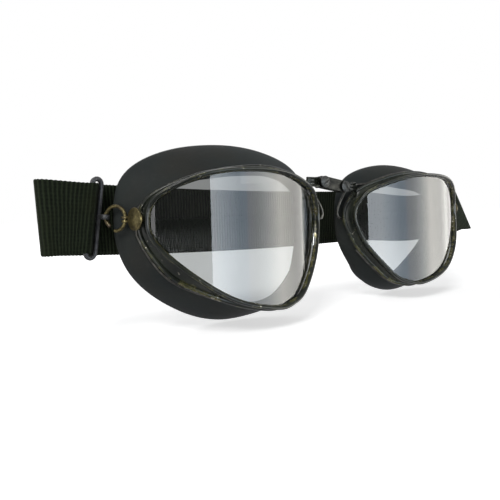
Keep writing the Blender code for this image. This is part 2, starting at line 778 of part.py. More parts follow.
def make_lug(side):
    """A plate from the pivot to the frame's wall, with a foot beside the nose and three pressed ribs."""
    sign = SIDES[side]
    turn = Matrix.Rotation(0 if sign > 0 else math.pi, 4, "Y")
    place = Matrix.Translation((sign * PIVOT_X, 0, PIVOT_RISES[side])) @ turn @ facing_front(0, 0)
    face = -LINK_THICKNESS - GAP
    outline = [
        *arc((0, 0), LUG_RADIUS, math.radians(50), math.radians(310), 15),
        (LUG_REACH - LUG_HALF_HEIGHT, -LUG_HALF_HEIGHT),
        (LUG_REACH - LUG_HALF_HEIGHT, -LUG_HALF_HEIGHT - LUG_FOOT_DROP),
        (LUG_FOOT_REACH, -LUG_HALF_HEIGHT - LUG_FOOT_DROP),
        (LUG_FOOT_REACH, -LUG_HALF_HEIGHT),
        (LUG_REACH, LUG_HALF_HEIGHT),
    ]
    outline = [(x, y * sign) for x, y in outline]
    made = prism("lug_" + side, outline, face - LUG_THICKNESS, face, OLIVE, place)
    start = HEAD_RADIUS + 2 * GAP
    for i in (-1, 0, 1):
        low = i * LUG_RIB_SPACING - LUG_RIB_WIDTH / 2
        high = low + LUG_RIB_WIDTH
        corners = [(start, low), (LUG_REACH - GAP, low), (LUG_REACH - GAP, high), (start, high)]
        name = f"lug_rib_{side}_{i + 1}"
        rib = prism(name, corners, face - GAP, face + LUG_RIB_HEIGHT, OLIVE, place, cutter=True)
        cut(made, rib, "UNION")
    loop = opening()
    front, rear, normal, backward = frame_wall(loop)
    envelope = [
        on_lens(grown(loop, RIM_WIDTH + GAP), rise=RIM_PROUD),
        front + normal * GAP,
        rear + normal * GAP,
        *frame_bead(rear, normal, backward, extra=GAP),
        on_lens(grown(loop, -FRAME_FRONT_OFFSET), back=FRAME_DEPTH + BEAD_RADIUS + GAP),
    ]
    cut(made, loft("lug_seat_" + side, envelope, OLIVE, side, cutter=True, ring=False))
    clearance = SCREW_RADIUS + SCREW_CLEARANCE
    cut(made, cylinder("lug_hole_" + side, clearance, -OVERRUN, OVERRUN, OLIVE, place, 20, cutter=True))
    return made


def make_links():
    """Two plates with round ends, in front of the lugs and behind them."""
    right = Vector((-PIVOT_X, 0, PIVOT_RISES["right"]))
    left = Vector((PIVOT_X, 0, PIVOT_RISES["left"]))
    span = (left - right).length
    tilt = math.atan2(left.z - right.z, left.x - right.x)
    outline = arc((-span / 2, 0), LINK_RADIUS, math.pi / 2, math.pi * 1.5, 11)
    outline += arc((span / 2, 0), LINK_RADIUS, -math.pi / 2, math.pi / 2, 11)
    place = facing_front(0, 0) @ Matrix.Rotation(tilt, 4, "Z")
    rear = LINK_THICKNESS + LUG_THICKNESS + 2 * GAP
    fronts = {"link_front": 0.0, "link_rear": rear}
    for name, y in fronts.items():
        plate = prism(name, outline, -y - LINK_THICKNESS, -y, STEEL, place)
        for side in SIDES:
            at = facing_front(SIDES[side] * PIVOT_X, PIVOT_RISES[side])
            hole_name = f"{name}_hole_{side}"
            clearance = SCREW_RADIUS + SCREW_CLEARANCE
            hole = cylinder(hole_name, clearance, -2 * OVERRUN, OVERRUN, STEEL, at, 20, cutter=True)
            cut(plate, hole)


def make_screw(side):
    stack = 2 * LINK_THICKNESS + LUG_THICKNESS + 2 * GAP
    end = stack + GAP + NUT_THICKNESS
    place = facing_front(SIDES[side] * PIVOT_X, PIVOT_RISES[side])
    dome = [
        (HEAD_RADIUS * share, GAP + HEAD_EDGE + (HEAD_HEIGHT - HEAD_EDGE) * (1 - share**2))
        for share in (0, 0.35, 0.65, 0.88)
    ]
    profile = [
        *dome,
        (HEAD_RADIUS, GAP + HEAD_EDGE),
        (HEAD_RADIUS, GAP),
        (SCREW_RADIUS, GAP),
        (SCREW_RADIUS, -end),
        (0, -end),
    ]
    made = turned("screw_" + side, profile, STEEL, place)
    reach = HEAD_RADIUS + OVERRUN
    bottom = GAP + HEAD_HEIGHT - SLOT_DEPTH
    half = SLOT_WIDTH / 2
    corners = [(-reach, -half), (reach, -half), (reach, half), (-reach, half)]
    turned_place = place @ Matrix.Rotation(SLOT_ANGLES[side], 4, "Z")
    cut(made, prism("slot_" + side, corners, bottom, OVERRUN, STEEL, turned_place, cutter=True))
    nut_outline = arc((0, 0), NUT_RADIUS, math.pi / 6, math.pi / 6 + 2 * math.pi, 7)[:-1]
    nut = prism("nut_" + side, nut_outline, -end, -end + NUT_THICKNESS, STEEL, place)
    clearance = SCREW_RADIUS + SCREW_CLEARANCE
    name = "nut_bore_" + side
    cut(nut, cylinder(name, clearance, -3 * OVERRUN, OVERRUN, STEEL, place, 20, cutter=True))


def strap_half(side):
    """Plan path of half the strap, from its sewn tail to the middle of the back, as for the right
    eye, and the place in it of the fold."""
    _, _, rear = strap_frame_points("right")
    wrap = LINK_WIRE_RADIUS + SCREW_CLEARANCE + STRAP_THICKNESS / 2
    back_y = rear.y + STRAP_BACK_STEP
    turn_radius = (STRAP_BACK_STEP + wrap - STRAP_FRONT_DRIFT) / 2
    fold_x = STRAP_FOLD_REACH[side] - rear.x - STRAP_THICKNESS / 2 - turn_radius
    front_y = rear.y - wrap + STRAP_FRONT_DRIFT
    tail_y = rear.y - wrap + STRAP_FRONT_DRIFT + STRAP_THICKNESS + GAP
    points = [(rear.x - STRAP_TAIL, tail_y), (rear.x - STRAP_TAIL * 0.6, tail_y + GAP)]
    points += arc((rear.x, rear.y), wrap, math.pi / 2 + 0.2, -math.pi / 2, 11)
    for share in (0.2, 0.4, 0.6, 0.8):
        points.append((rear.x + (-fold_x - rear.x) * share, front_y - STRAP_FRONT_DRIFT * (1 - share) / 2))
    points += arc((-fold_x, back_y - turn_radius), turn_radius, -math.pi / 2, -math.pi * 1.5, 11)
    run = np.linspace(-fold_x + STRAP_TAIL, 0, 13)
    points += [(x, back_y) for x in run]
    return np.array(points), len(points) - len(run) - 6


def strap_rings(side):
    """The corners of each cross-section along half the strap, leaning where it is folded."""
    flat, fold = strap_half(side)
    steps = np.linalg.norm(np.diff(flat, axis=0), axis=1)
    length = np.r_[0, np.cumsum(steps)]
    wrapped = fold - 10
    before = np.clip((length - length[wrapped]) / (length[fold] - length[wrapped]), 0, 1)
    after = np.clip((length - length[fold]) / STRAP_LEAN_RUN, 0, 1)
    before, after = (share**2 * (3 - 2 * share) for share in (before, after))
    lean = (STRAP_WRAP_LEAN * (1 - before) + STRAP_LEANS[side] * before) * (1 - after)
    sag = STRAP_SAG * (1 - (flat[:, 0] / flat[:, 0].min()) ** 2)
    sag[:fold] = 0
    outer = np.clip((-flat[:, 0] - STRAP_SETTLE_START) / STRAP_SETTLE_RUN, 0, 1)
    tip = np.clip((-flat[:, 0] - STRAP_TIP_START) / STRAP_TIP_RUN, 0, 1)
    outer, tip = (share**2 * (3 - 2 * share) for share in (outer, tip))
    settled = (STRAP_SETTLES[side] * outer - STRAP_TIP_RISES[side] * tip) * before
    step = np.gradient(flat, axis=0)
    normal = np.stack([-step[:, 1], step[:, 0]], axis=1)
    normal /= np.linalg.norm(normal, axis=1)[:, None]
    corners = []
    for across, edge in ((1, 1), (1, -1), (-1, -1), (-1, 1)):
        plan = flat + normal * across * STRAP_THICKNESS / 2
        width = STRAP_BAR_WIDTH + (STRAP_WIDTH - STRAP_BAR_WIDTH) * before
        middle = STRAP_BAR_Z + (STRAP_FOLD_Z - STRAP_BAR_Z) * before - sag - settled
        height = middle + edge * width / 2
        corners.append(np.stack([plan[:, 0] + lean * edge, plan[:, 1], height], axis=1))
    return sided(np.stack(corners, axis=1), side)


def make_strap():
    right, left = (strap_rings(side) for side in ("right", "left"))
    bm = bmesh.new()
    rings = [[bm.verts.new(corner) for corner in ring] for ring in [*right, *left[-2::-1]]]
    for a, b in zip(rings, rings[1:]):
        for i in range(4):
            j = (i + 1) % 4
            bm.faces.new((a[i], a[j], b[j], b[i]))
    bm.faces.new(rings[0])
    bm.faces.new(rings[-1])
    bmesh.ops.recalc_face_normals(bm, faces=bm.faces)
    return finish_mesh("strap", bm, WEBBING)


def main():
    for old in list(bpy.data.objects):
        bpy.data.objects.remove(old)
    for name in ("flying_goggles", "cutters"):
        bpy.context.scene.collection.children.link(bpy.data.collections.new(name))
    for side in SIDES:
        make_lens(side)
        make_rim(side)
        make_frame(side)
        make_cushion(side)
        make_clamp_wire(side)
        make_clip(side)
        make_rivet(side)
        make_ring(side)
        make_strap_frame(side)
        make_lug(side)
        make_screw(side)
    make_links()
    make_strap()


main()
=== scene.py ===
import math

import bmesh
import bpy
import numpy as np
from mathutils import Matrix, Vector


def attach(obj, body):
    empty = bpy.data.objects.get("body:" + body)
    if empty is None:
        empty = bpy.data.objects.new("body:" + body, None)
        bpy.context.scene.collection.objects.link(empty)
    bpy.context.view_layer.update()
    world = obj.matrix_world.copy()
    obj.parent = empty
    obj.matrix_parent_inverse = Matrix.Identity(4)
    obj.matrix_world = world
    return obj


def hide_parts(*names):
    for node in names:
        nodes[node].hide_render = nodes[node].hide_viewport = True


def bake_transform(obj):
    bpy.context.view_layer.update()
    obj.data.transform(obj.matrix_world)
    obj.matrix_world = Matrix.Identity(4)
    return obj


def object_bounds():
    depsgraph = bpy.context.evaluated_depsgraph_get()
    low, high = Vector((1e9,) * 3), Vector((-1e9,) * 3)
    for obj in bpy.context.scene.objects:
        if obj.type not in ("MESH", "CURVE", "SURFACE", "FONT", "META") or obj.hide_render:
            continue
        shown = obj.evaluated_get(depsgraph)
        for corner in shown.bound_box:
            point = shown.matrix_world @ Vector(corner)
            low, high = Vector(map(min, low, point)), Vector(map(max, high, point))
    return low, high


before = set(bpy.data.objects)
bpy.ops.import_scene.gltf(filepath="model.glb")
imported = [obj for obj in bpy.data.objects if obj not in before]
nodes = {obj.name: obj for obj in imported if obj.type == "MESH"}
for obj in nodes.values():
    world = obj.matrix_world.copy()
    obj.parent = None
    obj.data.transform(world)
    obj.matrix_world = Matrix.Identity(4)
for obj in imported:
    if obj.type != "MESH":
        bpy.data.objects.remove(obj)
cad_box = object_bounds()
SIDES = {"right": -1, "left": 1}


# Front rims
# Each rim is a strip of brass rolled to a channel over the lens's edge and stove-painted a dark
# olive. Handling has rubbed the paint through to bright metal along its lip and its shoulder.
LENS_RADIUS = 0.0681
LENS_AXIS_Y = 0.0546
EYE_X = 0.0535
OPENING_HALF_ARC = 0.0422
OPENING_HALF_HEIGHT = 0.0256
OPENING_SHIFT_U = 0.00075
OPENING_CENTRE_Z = -0.0222
OPENING_SHARES = (
    (0.999, 0.316),
    (0.901, 0.612),
    (0.717, 0.781),
    (0.309, 0.961),
    (-0.112, 0.997),
    (-0.532, 0.915),
    (-0.914, 0.635),
    (-0.999, 0.328),
    (-0.927, 0.006),
    (-0.613, -0.455),
    (-0.254, -0.821),
    (0.152, -0.999),
    (0.362, -0.969),
    (0.553, -0.824),
    (0.841, -0.32),
    (0.945, -0.017),
)
LOOP_POINTS = 192
CURVE_STEPS = 40
GAP = 0.0003
RIM_WIDTH = 0.0017
RIM_PROUD = 0.0018
RIM_WALL = 0.0004
RIM_LIP = 0.00065
RIM_SKIRT = 0.0016


def even(points, count, closed=False):
    """The path resampled at even steps of its length."""
    path = np.vstack([points, points[:1]]) if closed else np.array(points, float)
    length = np.r_[0, np.cumsum(np.linalg.norm(np.diff(path, axis=0), axis=1))]
    at = np.linspace(0, length[-1], count, endpoint=not closed)
    return np.stack([np.interp(at, length, column) for column in path.T], axis=1)


def spline(a, b, c, d, steps):
    """The stretch from b to c of a smooth curve through four points."""
    slow = steps * (c - a) / 2
    fast = steps**2 * (2 * a - 5 * b + 4 * c - d) / 2
    return b + slow + fast + steps**3 * (3 * b - 3 * c + d - a) / 2


def closed_curve(points, count):
    """A smooth closed curve through the points."""
    points = np.array(points, float)
    steps = np.linspace(0, 1, CURVE_STEPS, endpoint=False)[:, None]
    sets = [[points[(i + k) % len(points)] for k in (-1, 0, 1, 2)] for i in range(len(points))]
    return even(np.vstack([spline(*four, steps) for four in sets]), count, closed=True)


def grown(loop, amount):
    """The closed outline moved outward by the amount, one for all or one a point."""
    step = np.roll(loop, -1, axis=0) - np.roll(loop, 1, axis=0)
    normal = np.stack([step[:, 1], -step[:, 0]], axis=1)
    normal /= np.linalg.norm(normal, axis=1)[:, None]
    return loop + normal * np.reshape(amount, (-1, 1))


def opening():
    """The lens opening as (arc, height), on the lens's own curve."""
    shares = np.array(OPENING_SHARES)
    across = OPENING_SHIFT_U + OPENING_HALF_ARC * shares[:, 0]
    height = OPENING_CENTRE_Z + OPENING_HALF_HEIGHT * shares[:, 1]
    return closed_curve(np.stack([across, height], axis=1), LOOP_POINTS)


def on_lens(loop, rise=0.0, back=0.0):
    """(arc, height) points laid on the right lens's curve, raised from it or moved back."""
    angle = loop[:, 0] / LENS_RADIUS
    radius = LENS_RADIUS + rise
    x = -EYE_X + radius * np.sin(angle)
    return np.stack([x, LENS_AXIS_Y - radius * np.cos(angle) + back, loop[:, 1]], axis=1)


def drawn_section(loops, side, wear=None, close=True):
    """A rolled strip: one loop of edges drawn on from each outline to the next. Each outline
    keeps how worn it is, as one value or one a point."""
    bm = bmesh.new()
    spot = bm.verts.layers.int.new("spot")
    rubbed = bm.verts.layers.float.new("wear")
    wear = [np.broadcast_to(worn, len(loops[0])) for worn in wear or [0.0] * len(loops)]
    flip = np.array([-SIDES[side], 1, 1])
    first = [bm.verts.new(point) for point in loops[0] * flip]
    for index, vert in enumerate(first):
        vert[spot] = index
        vert[rubbed] = wear[0][index]
    edges = [bm.edges.new((first[i - 1], first[i])) for i in range(len(first))]
    start = list(edges)
    for loop, worn in zip(loops[1:], wear[1:]):
        drawn = bmesh.ops.extrude_edge_only(bm, edges=edges)["geom"]
        fresh = {item for item in drawn if isinstance(item, bmesh.types.BMVert)}
        for vert in fresh:
            vert.co = loop[vert[spot]] * flip
            vert[rubbed] = worn[vert[spot]]
        kept = [item for item in drawn if isinstance(item, bmesh.types.BMEdge)]
        edges = [edge for edge in kept if set(edge.verts) <= fresh]
    if close:
        bmesh.ops.bridge_loops(bm, edges=edges + start)
    bmesh.ops.recalc_face_normals(bm, faces=bm.faces)
    return bm


def finished(name, bm, body, material, replaced, sharp=38):
    """The worked mesh as a piece of the object. It rides on its body, where it has one alone."""
    mesh = bpy.data.meshes.new(name)
    bm.to_mesh(mesh)
    bm.free()
    mesh.shade_smooth()
    mesh.set_sharp_from_angle(angle=math.radians(sharp))
    mesh.materials.append(material)
    made = bpy.data.objects.new(name, mesh)
    bpy.context.scene.collection.objects.link(made)
    if body:
        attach(made, body)
    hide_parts(*replaced)
    return made


def new_finish(name, colour, roughness, metallic=0.0):
    """A material with its plain colour and shine, its node tree and its shader."""
    made = bpy.data.materials.new(name)
    made.use_nodes = True
    shader = made.node_tree.nodes["Principled BSDF"]
    shader.inputs["Base Color"].default_value = (*colour, 1)
    shader.inputs["Roughness"].default_value = roughness
    shader.inputs["Metallic"].default_value = metallic
    return made, made.node_tree, shader


def node(tree, kind, inputs=None, **settings):
    """A node with its settings, and its inputs set or linked by name or number."""
    made = tree.nodes.new(kind)
    for key, value in settings.items():
        setattr(made, key, value)
    for key, value in (inputs or {}).items():
        if isinstance(value, bpy.types.NodeSocket):
            tree.links.new(value, made.inputs[key])
        else:
            made.inputs[key].default_value = value
    return made


def on_object(tree, scale=(1.0, 1.0, 1.0)):
    """The piece's own coordinates, drawn out along some axes for streaks."""
    place = node(tree, "ShaderNodeTexCoord").outputs["Object"]
    return node(tree, "ShaderNodeMapping", {"Vector": place, "Scale": scale}).outputs["Vector"]


def mottle(tree, scale, detail=4.0, rough=0.55, stretch=(1.0, 1.0, 1.0)):
    """Soft cloudy variation, 0 to 1."""
    place = on_object(tree, stretch)
    inputs = {"Vector": place, "Scale": scale, "Detail": detail, "Roughness": rough}
    return node(tree, "ShaderNodeTexNoise", inputs).outputs["Fac"]


def remap(tree, value, low, high, to_low=0.0, to_high=1.0):
    """The value moved from one range onto another, and kept inside it."""
    ends = {"From Min": low, "From Max": high, "To Min": to_low, "To Max": to_high}
    return node(tree, "ShaderNodeMapRange", {"Value": value, **ends}).outputs["Result"]


def maths(tree, operation, first, second=0.0):
    """What one operation makes of numbers or sockets."""
    return node(tree, "ShaderNodeMath", {0: first, 1: second}, operation=operation).outputs[0]


def blended(tree, share, first, second):
    """The first colour where share is 0, the second where it is 1."""
    made = node(tree, "ShaderNodeMixRGB", {"Fac": share})
    for socket, value in (("Color1", first), ("Color2", second)):
        if isinstance(value, bpy.types.NodeSocket):
            tree.links.new(value, made.inputs[socket])
        else:
            made.inputs[socket].default_value = (*value, 1)
    return made.outputs["Color"]


def bumped(tree, shader, height, distance, strength):
    """A fine relief on the shader, as deep as the distance where the height is 1."""
    inputs = {"Height": height, "Distance": distance, "Strength": strength}
    tree.links.new(node(tree, "ShaderNodeBump", inputs).outputs["Normal"], shader.inputs["Normal"])


ENAMEL_DARK = (0.011, 0.014, 0.011)
ENAMEL_LIGHT = (0.040, 0.045, 0.032)
ENAMEL_STAINED = (0.105, 0.102, 0.030)
BRASS_DULL = (0.13, 0.115, 0.045)
BRASS_RUBBED = (0.46, 0.44, 0.36)


def old_paint(name, worn_by):
    """Dark olive enamel over brass. It is rubbed through where the piece says, and chipped."""
    made, tree, shader = new_finish(name, (0.02, 0.022, 0.016), 0.24)
    shader.inputs["Specular IOR Level"].default_value = 0.35
    patches = mottle(tree, 230.0, detail=5.0, rough=0.65)
    nicks = mottle(tree, 1100.0, detail=3.0, rough=0.6)
    runs = mottle(tree, 70.0, detail=3.0, rough=0.5)
    shallow = maths(tree, "MULTIPLY", nicks, 0.5)
    worn = node(tree, "ShaderNodeAttribute", attribute_name="wear").outputs["Fac"]
    worn = maths(tree, "ADD", worn, worn_by)
    thin = maths(tree, "MULTIPLY", worn, remap(tree, patches, 0.40, 0.62))
    rubbed = remap(tree, maths(tree, "ADD", thin, shallow), 0.85, 1.05)
    flaking = remap(tree, patches, 0.50, 0.56)
    chips = maths(tree, "MULTIPLY", remap(tree, nicks, 0.64, 0.67), flaking)
    bare = maths(tree, "MAXIMUM", rubbed, chips)
    enamel = blended(tree, remap(tree, runs, 0.35, 0.7), ENAMEL_DARK, ENAMEL_LIGHT)
    enamel = blended(tree, remap(tree, thin, 0.18, 0.5, 0.0, 0.9), enamel, ENAMEL_STAINED)
    metal = blended(tree, remap(tree, nicks, 0.45, 0.66), BRASS_DULL, BRASS_RUBBED)
    tree.links.new(blended(tree, bare, enamel, metal), shader.inputs["Base Color"])
    tree.links.new(remap(tree, bare, 0.0, 1.0, 0.0, 0.85), shader.inputs["Metallic"])
    tree.links.new(remap(tree, patches, 0.3, 0.7, 0.14, 0.32), shader.inputs["Roughness"])
    bumped(tree, shader, maths(tree, "SUBTRACT", shallow, bare), 0.00005, 0.5)
    return made


rim_paint = old_paint("rim_enamel", 0.0)
rim_section = (
    (0, -RIM_WALL, 0.4),
    (0, RIM_LIP - RIM_WALL, 1.5),
    (RIM_WIDTH * 0.07, RIM_PROUD * 0.42, 0.8),
    (RIM_WIDTH * 0.19, RIM_PROUD * 0.70, 0.1),
    (RIM_WIDTH * 0.34, RIM_PROUD * 0.92, 0.1),
    (RIM_WIDTH * 0.52, RIM_PROUD, 0.2),
    (RIM_WIDTH * 0.70, RIM_PROUD * 0.97, 0.3),
    (RIM_WIDTH * 0.86, RIM_PROUD * 0.84, 0.5),
    (RIM_WIDTH * 0.97, RIM_PROUD * 0.62, 0.3),
    (RIM_WIDTH, RIM_PROUD * 0.38, 0.1),
    (RIM_WIDTH, -RIM_SKIRT, 0.2),
    (RIM_WIDTH - RIM_WALL, -RIM_SKIRT, 0),
    (RIM_WIDTH - RIM_WALL, -GAP, 0),
)
rim_loops = [on_lens(grown(opening(), out), rise=rise) for out, rise, _ in rim_section]
for side in SIDES:
    bm = drawn_section(rim_loops, side, [worn for _, _, worn in rim_section])
    finished("front_rim_" + side, bm, "cup_" + side, rim_paint, ["rim_" + side])


# Lenses
# Each lens is a millimetre of clear safety glass, bent to one upright curve and ground to the
# opening's outline. Its edge lies behind the rim's lip, and wiping has left faint smears on it.
LENS_LAP = 0.0011
LENS_SINK = 0.0006
LENS_THICKNESS = 0.001
LENS_RINGS = 24
GLASS_CLEAR = (0.87, 0.90, 0.89)
GLASS_SMEARED = (0.80, 0.83, 0.82)

glass, tree, shader = new_finish("clear_glass", (0.86, 0.90, 0.89), 0.0)
shader.inputs["Transmission Weight"].default_value = 1
shader.inputs["IOR"].default_value = 1.52
shader.inputs["Specular IOR Level"].default_value = 1.0
smears = remap(tree, mottle(tree, 60.0, rough=0.6, stretch=(1.0, 1.0, 0.3)), 0.45, 0.8)
tree.links.new(blended(tree, smears, GLASS_CLEAR, GLASS_SMEARED), shader.inputs["Base Color"])

edge = grown(opening(), LENS_LAP)
middle = edge.mean(axis=0)
shares = np.linspace(1 / LENS_RINGS, 1, LENS_RINGS)
rings = [middle + (edge - middle) * share for share in shares]
faces = [on_lens(ring, rise=-LENS_SINK) for ring in rings]
faces += [on_lens(ring, rise=-LENS_SINK - LENS_THICKNESS) for ring in rings[::-1]]
for side in SIDES:
    bm = drawn_section(faces, side, close=False)
    bmesh.ops.holes_fill(bm, edges=bm.edges, sides=0)
    bmesh.ops.recalc_face_normals(bm, faces=bm.faces)
    finished("glass_" + side, bm, "cup_" + side, glass, ["lens_" + side], sharp=25)


# Frames
# Behind the rim a pressed brass wall spreads towards the temple. Its front ledge backs the lens,
# and its rear edge is rolled to a bead where the olive paint has worn and the brass shows.
FRAME_LEDGE_INSET = 0.0004
FRAME_SHEET = 0.0007
FRAME_FRONT_OFFSET = 0.0018
FRAME_REAR_SPREAD = 0.0042
FRAME_DEPTH = 0.0055
LEDGE_DEPTH = LENS_SINK + LENS_THICKNESS + GAP
# How far the wall spreads, by degrees round the opening from the nose and over the brow.
FRAME_SPREAD_SHARES = (
    (0, 0.45),
    (36, 0.5),
    (72, 0.56),
    (90, 0.5),
    (104, 0.34),
    (118, 0.26),
    (150, 0.27),
    (166, 0.34),
    (180, 0.5),
    (194, 0.84),
    (206, 1.0),
    (220, 0.78),
    (236, 0.55),
    (252, 0.42),
    (285, 0.47),
    (330, 0.44),
)
BEAD_RADIUS = 0.0007
BEAD_WEAR = 0.55
HANDLED_WEAR = 1.65
# Where fingers have rubbed the bead: the degrees round it, and how far each spot spreads.
HANDLED_SPOTS = ((222, 26), (318, 24))


def rounded(values, passes):
    """Values round a loop, evened out with their neighbours."""
    for _ in range(passes):
        values = (np.roll(values, 1, axis=0) + 2 * values + np.roll(values, -1, axis=0)) / 4
    return values


def frame_wall():
    """The wall's outer side: front edge, rear edge, outward normal and the way back along it."""
    loop = opening()
    shares = np.array(FRAME_SPREAD_SHARES)
    across = (loop[:, 1] - OPENING_CENTRE_Z) * OPENING_HALF_ARC / OPENING_HALF_HEIGHT
    angle = np.degrees(np.arctan2(across, loop[:, 0] - OPENING_SHIFT_U)) % 360
    spread = rounded(np.interp(angle, shares[:, 0], shares[:, 1], period=360), LOOP_POINTS // 12)
    front = on_lens(grown(loop, FRAME_FRONT_OFFSET), rise=-LEDGE_DEPTH)
    rear = on_lens(grown(loop, FRAME_REAR_SPREAD * spread), back=FRAME_DEPTH - 2 * BEAD_RADIUS)
    tangent = np.roll(rear, -1, axis=0) - np.roll(rear, 1, axis=0)
    normal = np.cross(rear - front, tangent)
    normal /= np.linalg.norm(normal, axis=1)[:, None]
    if np.sum(normal[:, 2] * (rear[:, 2] - rear[:, 2].mean())) < 0:
        normal = -normal
    backward = (rear - front) / np.linalg.norm(rear - front, axis=1)[:, None]
    return front, rear, normal, backward


wall_paint = old_paint("frame_enamel", 0.04)
front, rear, normal, backward = frame_wall()
wall_inset = grown(opening(), FRAME_LEDGE_INSET)
bead_shares = (
    (0.0, 0.1, 0.2),
    (0.55, 0.2, 0.25),
    (1.0, 0.5, 0.35),
    (1.28, 0.95, 0.5),
    (1.4, 1.5, 0.6),
    (1.36, 2.0, 0.55),
    (1.18, 2.45, 0.4),
    (0.9, 2.7, 0.2),
    (0.2, 2.74, 0),
    (-0.4, 2.66, 0),
)
wall_section = [
    (on_lens(wall_inset, rise=-LEDGE_DEPTH), 0),
    (front - normal * BEAD_RADIUS * 0.2, 0.3),
    (front + backward * BEAD_RADIUS * 0.35, 0.3),
    ((front + rear) / 2 - normal * FRAME_SHEET * 0.35, 0.1),
]
around = np.degrees(np.arctan2(rear[:, 2] - OPENING_CENTRE_Z, rear[:, 0] + EYE_X)) % 360
handled = sum(np.exp(-(((around - at) / spread) ** 2)) for at, spread in HANDLED_SPOTS)
for out, behind, worn in bead_shares:
    curl = rear + (normal * out + backward * behind) * BEAD_RADIUS
    wall_section.append((curl, worn * (BEAD_WEAR + HANDLED_WEAR * handled)))
wall_section += [
    (rear - normal * FRAME_SHEET + backward * BEAD_RADIUS * 1.7, 0),
    (front - normal * FRAME_SHEET + backward * FRAME_SHEET, 0),
    (on_lens(wall_inset, rise=-LEDGE_DEPTH - FRAME_SHEET), 0),
]
wall_loops, wall_wear = zip(*wall_section)
for side in SIDES:
    bm = drawn_section(wall_loops, side, wall_wear)
    body, replaced = "cup_" + side, ["frame_" + side]
    finished("side_wall_" + side, bm, body, wall_paint, replaced)


# Cushions
# Each face cushion is a hollow cup of moulded rubber, dark grey and dull with age. It is pulled
# over the frame's rear edge, held there by the wire, and open to the face behind.
RUBBER_DARK = (0.015, 0.019, 0.019)
RUBBER_LIGHT = (0.032, 0.037, 0.034)
RUBBER_SOILED = (0.032, 0.030, 0.025)
RUBBER_DUSTY = (0.060, 0.062, 0.055)
CUSHION_JOIN_ANGLE = 3.1
COPY_WELD = 0.000001

rubber, tree, shader = new_finish("moulded_rubber", (0.025, 0.028, 0.026), 0.7)
shader.inputs["Specular IOR Level"].default_value = 0.2
bloom = mottle(tree, 45.0, detail=5.0, rough=0.6)
dust = mottle(tree, 420.0, rough=0.7)
soiled = mottle(tree, 33.0, detail=3.0, rough=0.5)
tint = blended(tree, remap(tree, bloom, 0.3, 0.75), RUBBER_DARK, RUBBER_LIGHT)
tint = blended(tree, remap(tree, soiled, 0.48, 0.68, 0.0, 0.6), tint, RUBBER_SOILED)
tint = blended(tree, remap(tree, dust, 0.56, 0.8, 0.0, 0.25), tint, RUBBER_DUSTY)
tree.links.new(tint, shader.inputs["Base Color"])
tree.links.new(remap(tree, bloom, 0.3, 0.7, 0.6, 0.76), shader.inputs["Roughness"])
bumped(tree, shader, maths(tree, "ADD", dust, bloom), 0.0001, 0.4)


def worked_copy(source):
    """A CAD node's solid as a welded mesh of its own, ready to be worked on."""
    bm = bmesh.new()
    bm.from_mesh(nodes[source].data)
    bmesh.ops.remove_doubles(bm, verts=bm.verts, dist=COPY_WELD)
    return bm


def faces_joined(bm, face_angle, shape_angle):
    """The mesh's triangles joined to four-sided faces, where they bend less than the angles."""
    bmesh.ops.join_triangles(
        bm, faces=bm.faces, angle_face_threshold=face_angle, angle_shape_threshold=shape_angle
    )


for side in SIDES:
    bm = worked_copy("cushion_" + side)
    faces_joined(bm, CUSHION_JOIN_ANGLE, CUSHION_JOIN_ANGLE)
    bmesh.ops.recalc_face_normals(bm, faces=bm.faces)
    body, replaced = "cup_" + side, ["cushion_" + side]
    made = finished("face_cushion_" + side, bm, body, rubber, replaced)
    smooth = made.modifiers.new("smooth", "SUBSURF")
    smooth.levels = 2
    smooth.render_levels = 2


# Cushion wires
# A steel wire runs round each cushion's neck and clamps it to the frame. Its top end comes round
# beside the nose and is bent to a hook, by which it was drawn tight.
WIRE_JOIN_FACE_ANGLE = 0.6
WIRE_JOIN_SHAPE_ANGLE = 0.8
WIRE_DARK = (0.045, 0.043, 0.038)
WIRE_LIGHT = (0.13, 0.125, 0.11)


def steel_finish(name, dark, light, rough, metallic=0.9):
    """Drawn steel, dulled and spotted with age."""
    made, tree, shader = new_finish(name, dark, rough, metallic)
    stains = mottle(tree, 320.0, detail=5.0, rough=0.65)
    drag = mottle(tree, 700.0, detail=2.0, rough=0.5, stretch=(1.0, 1.0, 0.15))
    tint = blended(tree, remap(tree, stains, 0.38, 0.66), dark, light)
    dulled = remap(tree, stains, 0.3, 0.7, rough + 0.1, rough - 0.08)
    tree.links.new(tint, shader.inputs["Base Color"])
    tree.links.new(dulled, shader.inputs["Roughness"])
    bumped(tree, shader, maths(tree, "ADD", stains, drag), 0.00003, 0.4)
    return made


clamp_steel = steel_finish("dull_wire", WIRE_DARK, WIRE_LIGHT, 0.42)
for side in SIDES:
    bm = worked_copy("clamp_wire_" + side)
    faces_joined(bm, WIRE_JOIN_FACE_ANGLE, WIRE_JOIN_SHAPE_ANGLE)
    body, replaced = "cup_" + side, ["clamp_wire_" + side]
    finished("neck_wire_" + side, bm, body, clamp_steel, replaced, sharp=60)


# Temple clips
# A doubled strip of brass is riveted to each frame at the temple. Its eye is slotted and rolled
# round the ring, and a domed brass disc covers the rivet.
TEMPLE_Z = -0.0130
TEMPLE_OUT = 0.00065
TEMPLE_BACK = 0.00424
TEMPLE_ANGLE = math.radians(10)
RIVET_RADIUS = 0.0041
RIVET_EDGE = 0.00045
RIVET_DOME = 0.0011
RIVET_ALONG = -0.0010
RIVET_SEAT = 0.0029
RIVET_STEPS = 56
WELD = 0.000002
TARNISH_DARK = (0.050, 0.042, 0.020)
TARNISH_LIGHT = (0.26, 0.215, 0.095)
GRIME = (0.070, 0.050, 0.032)

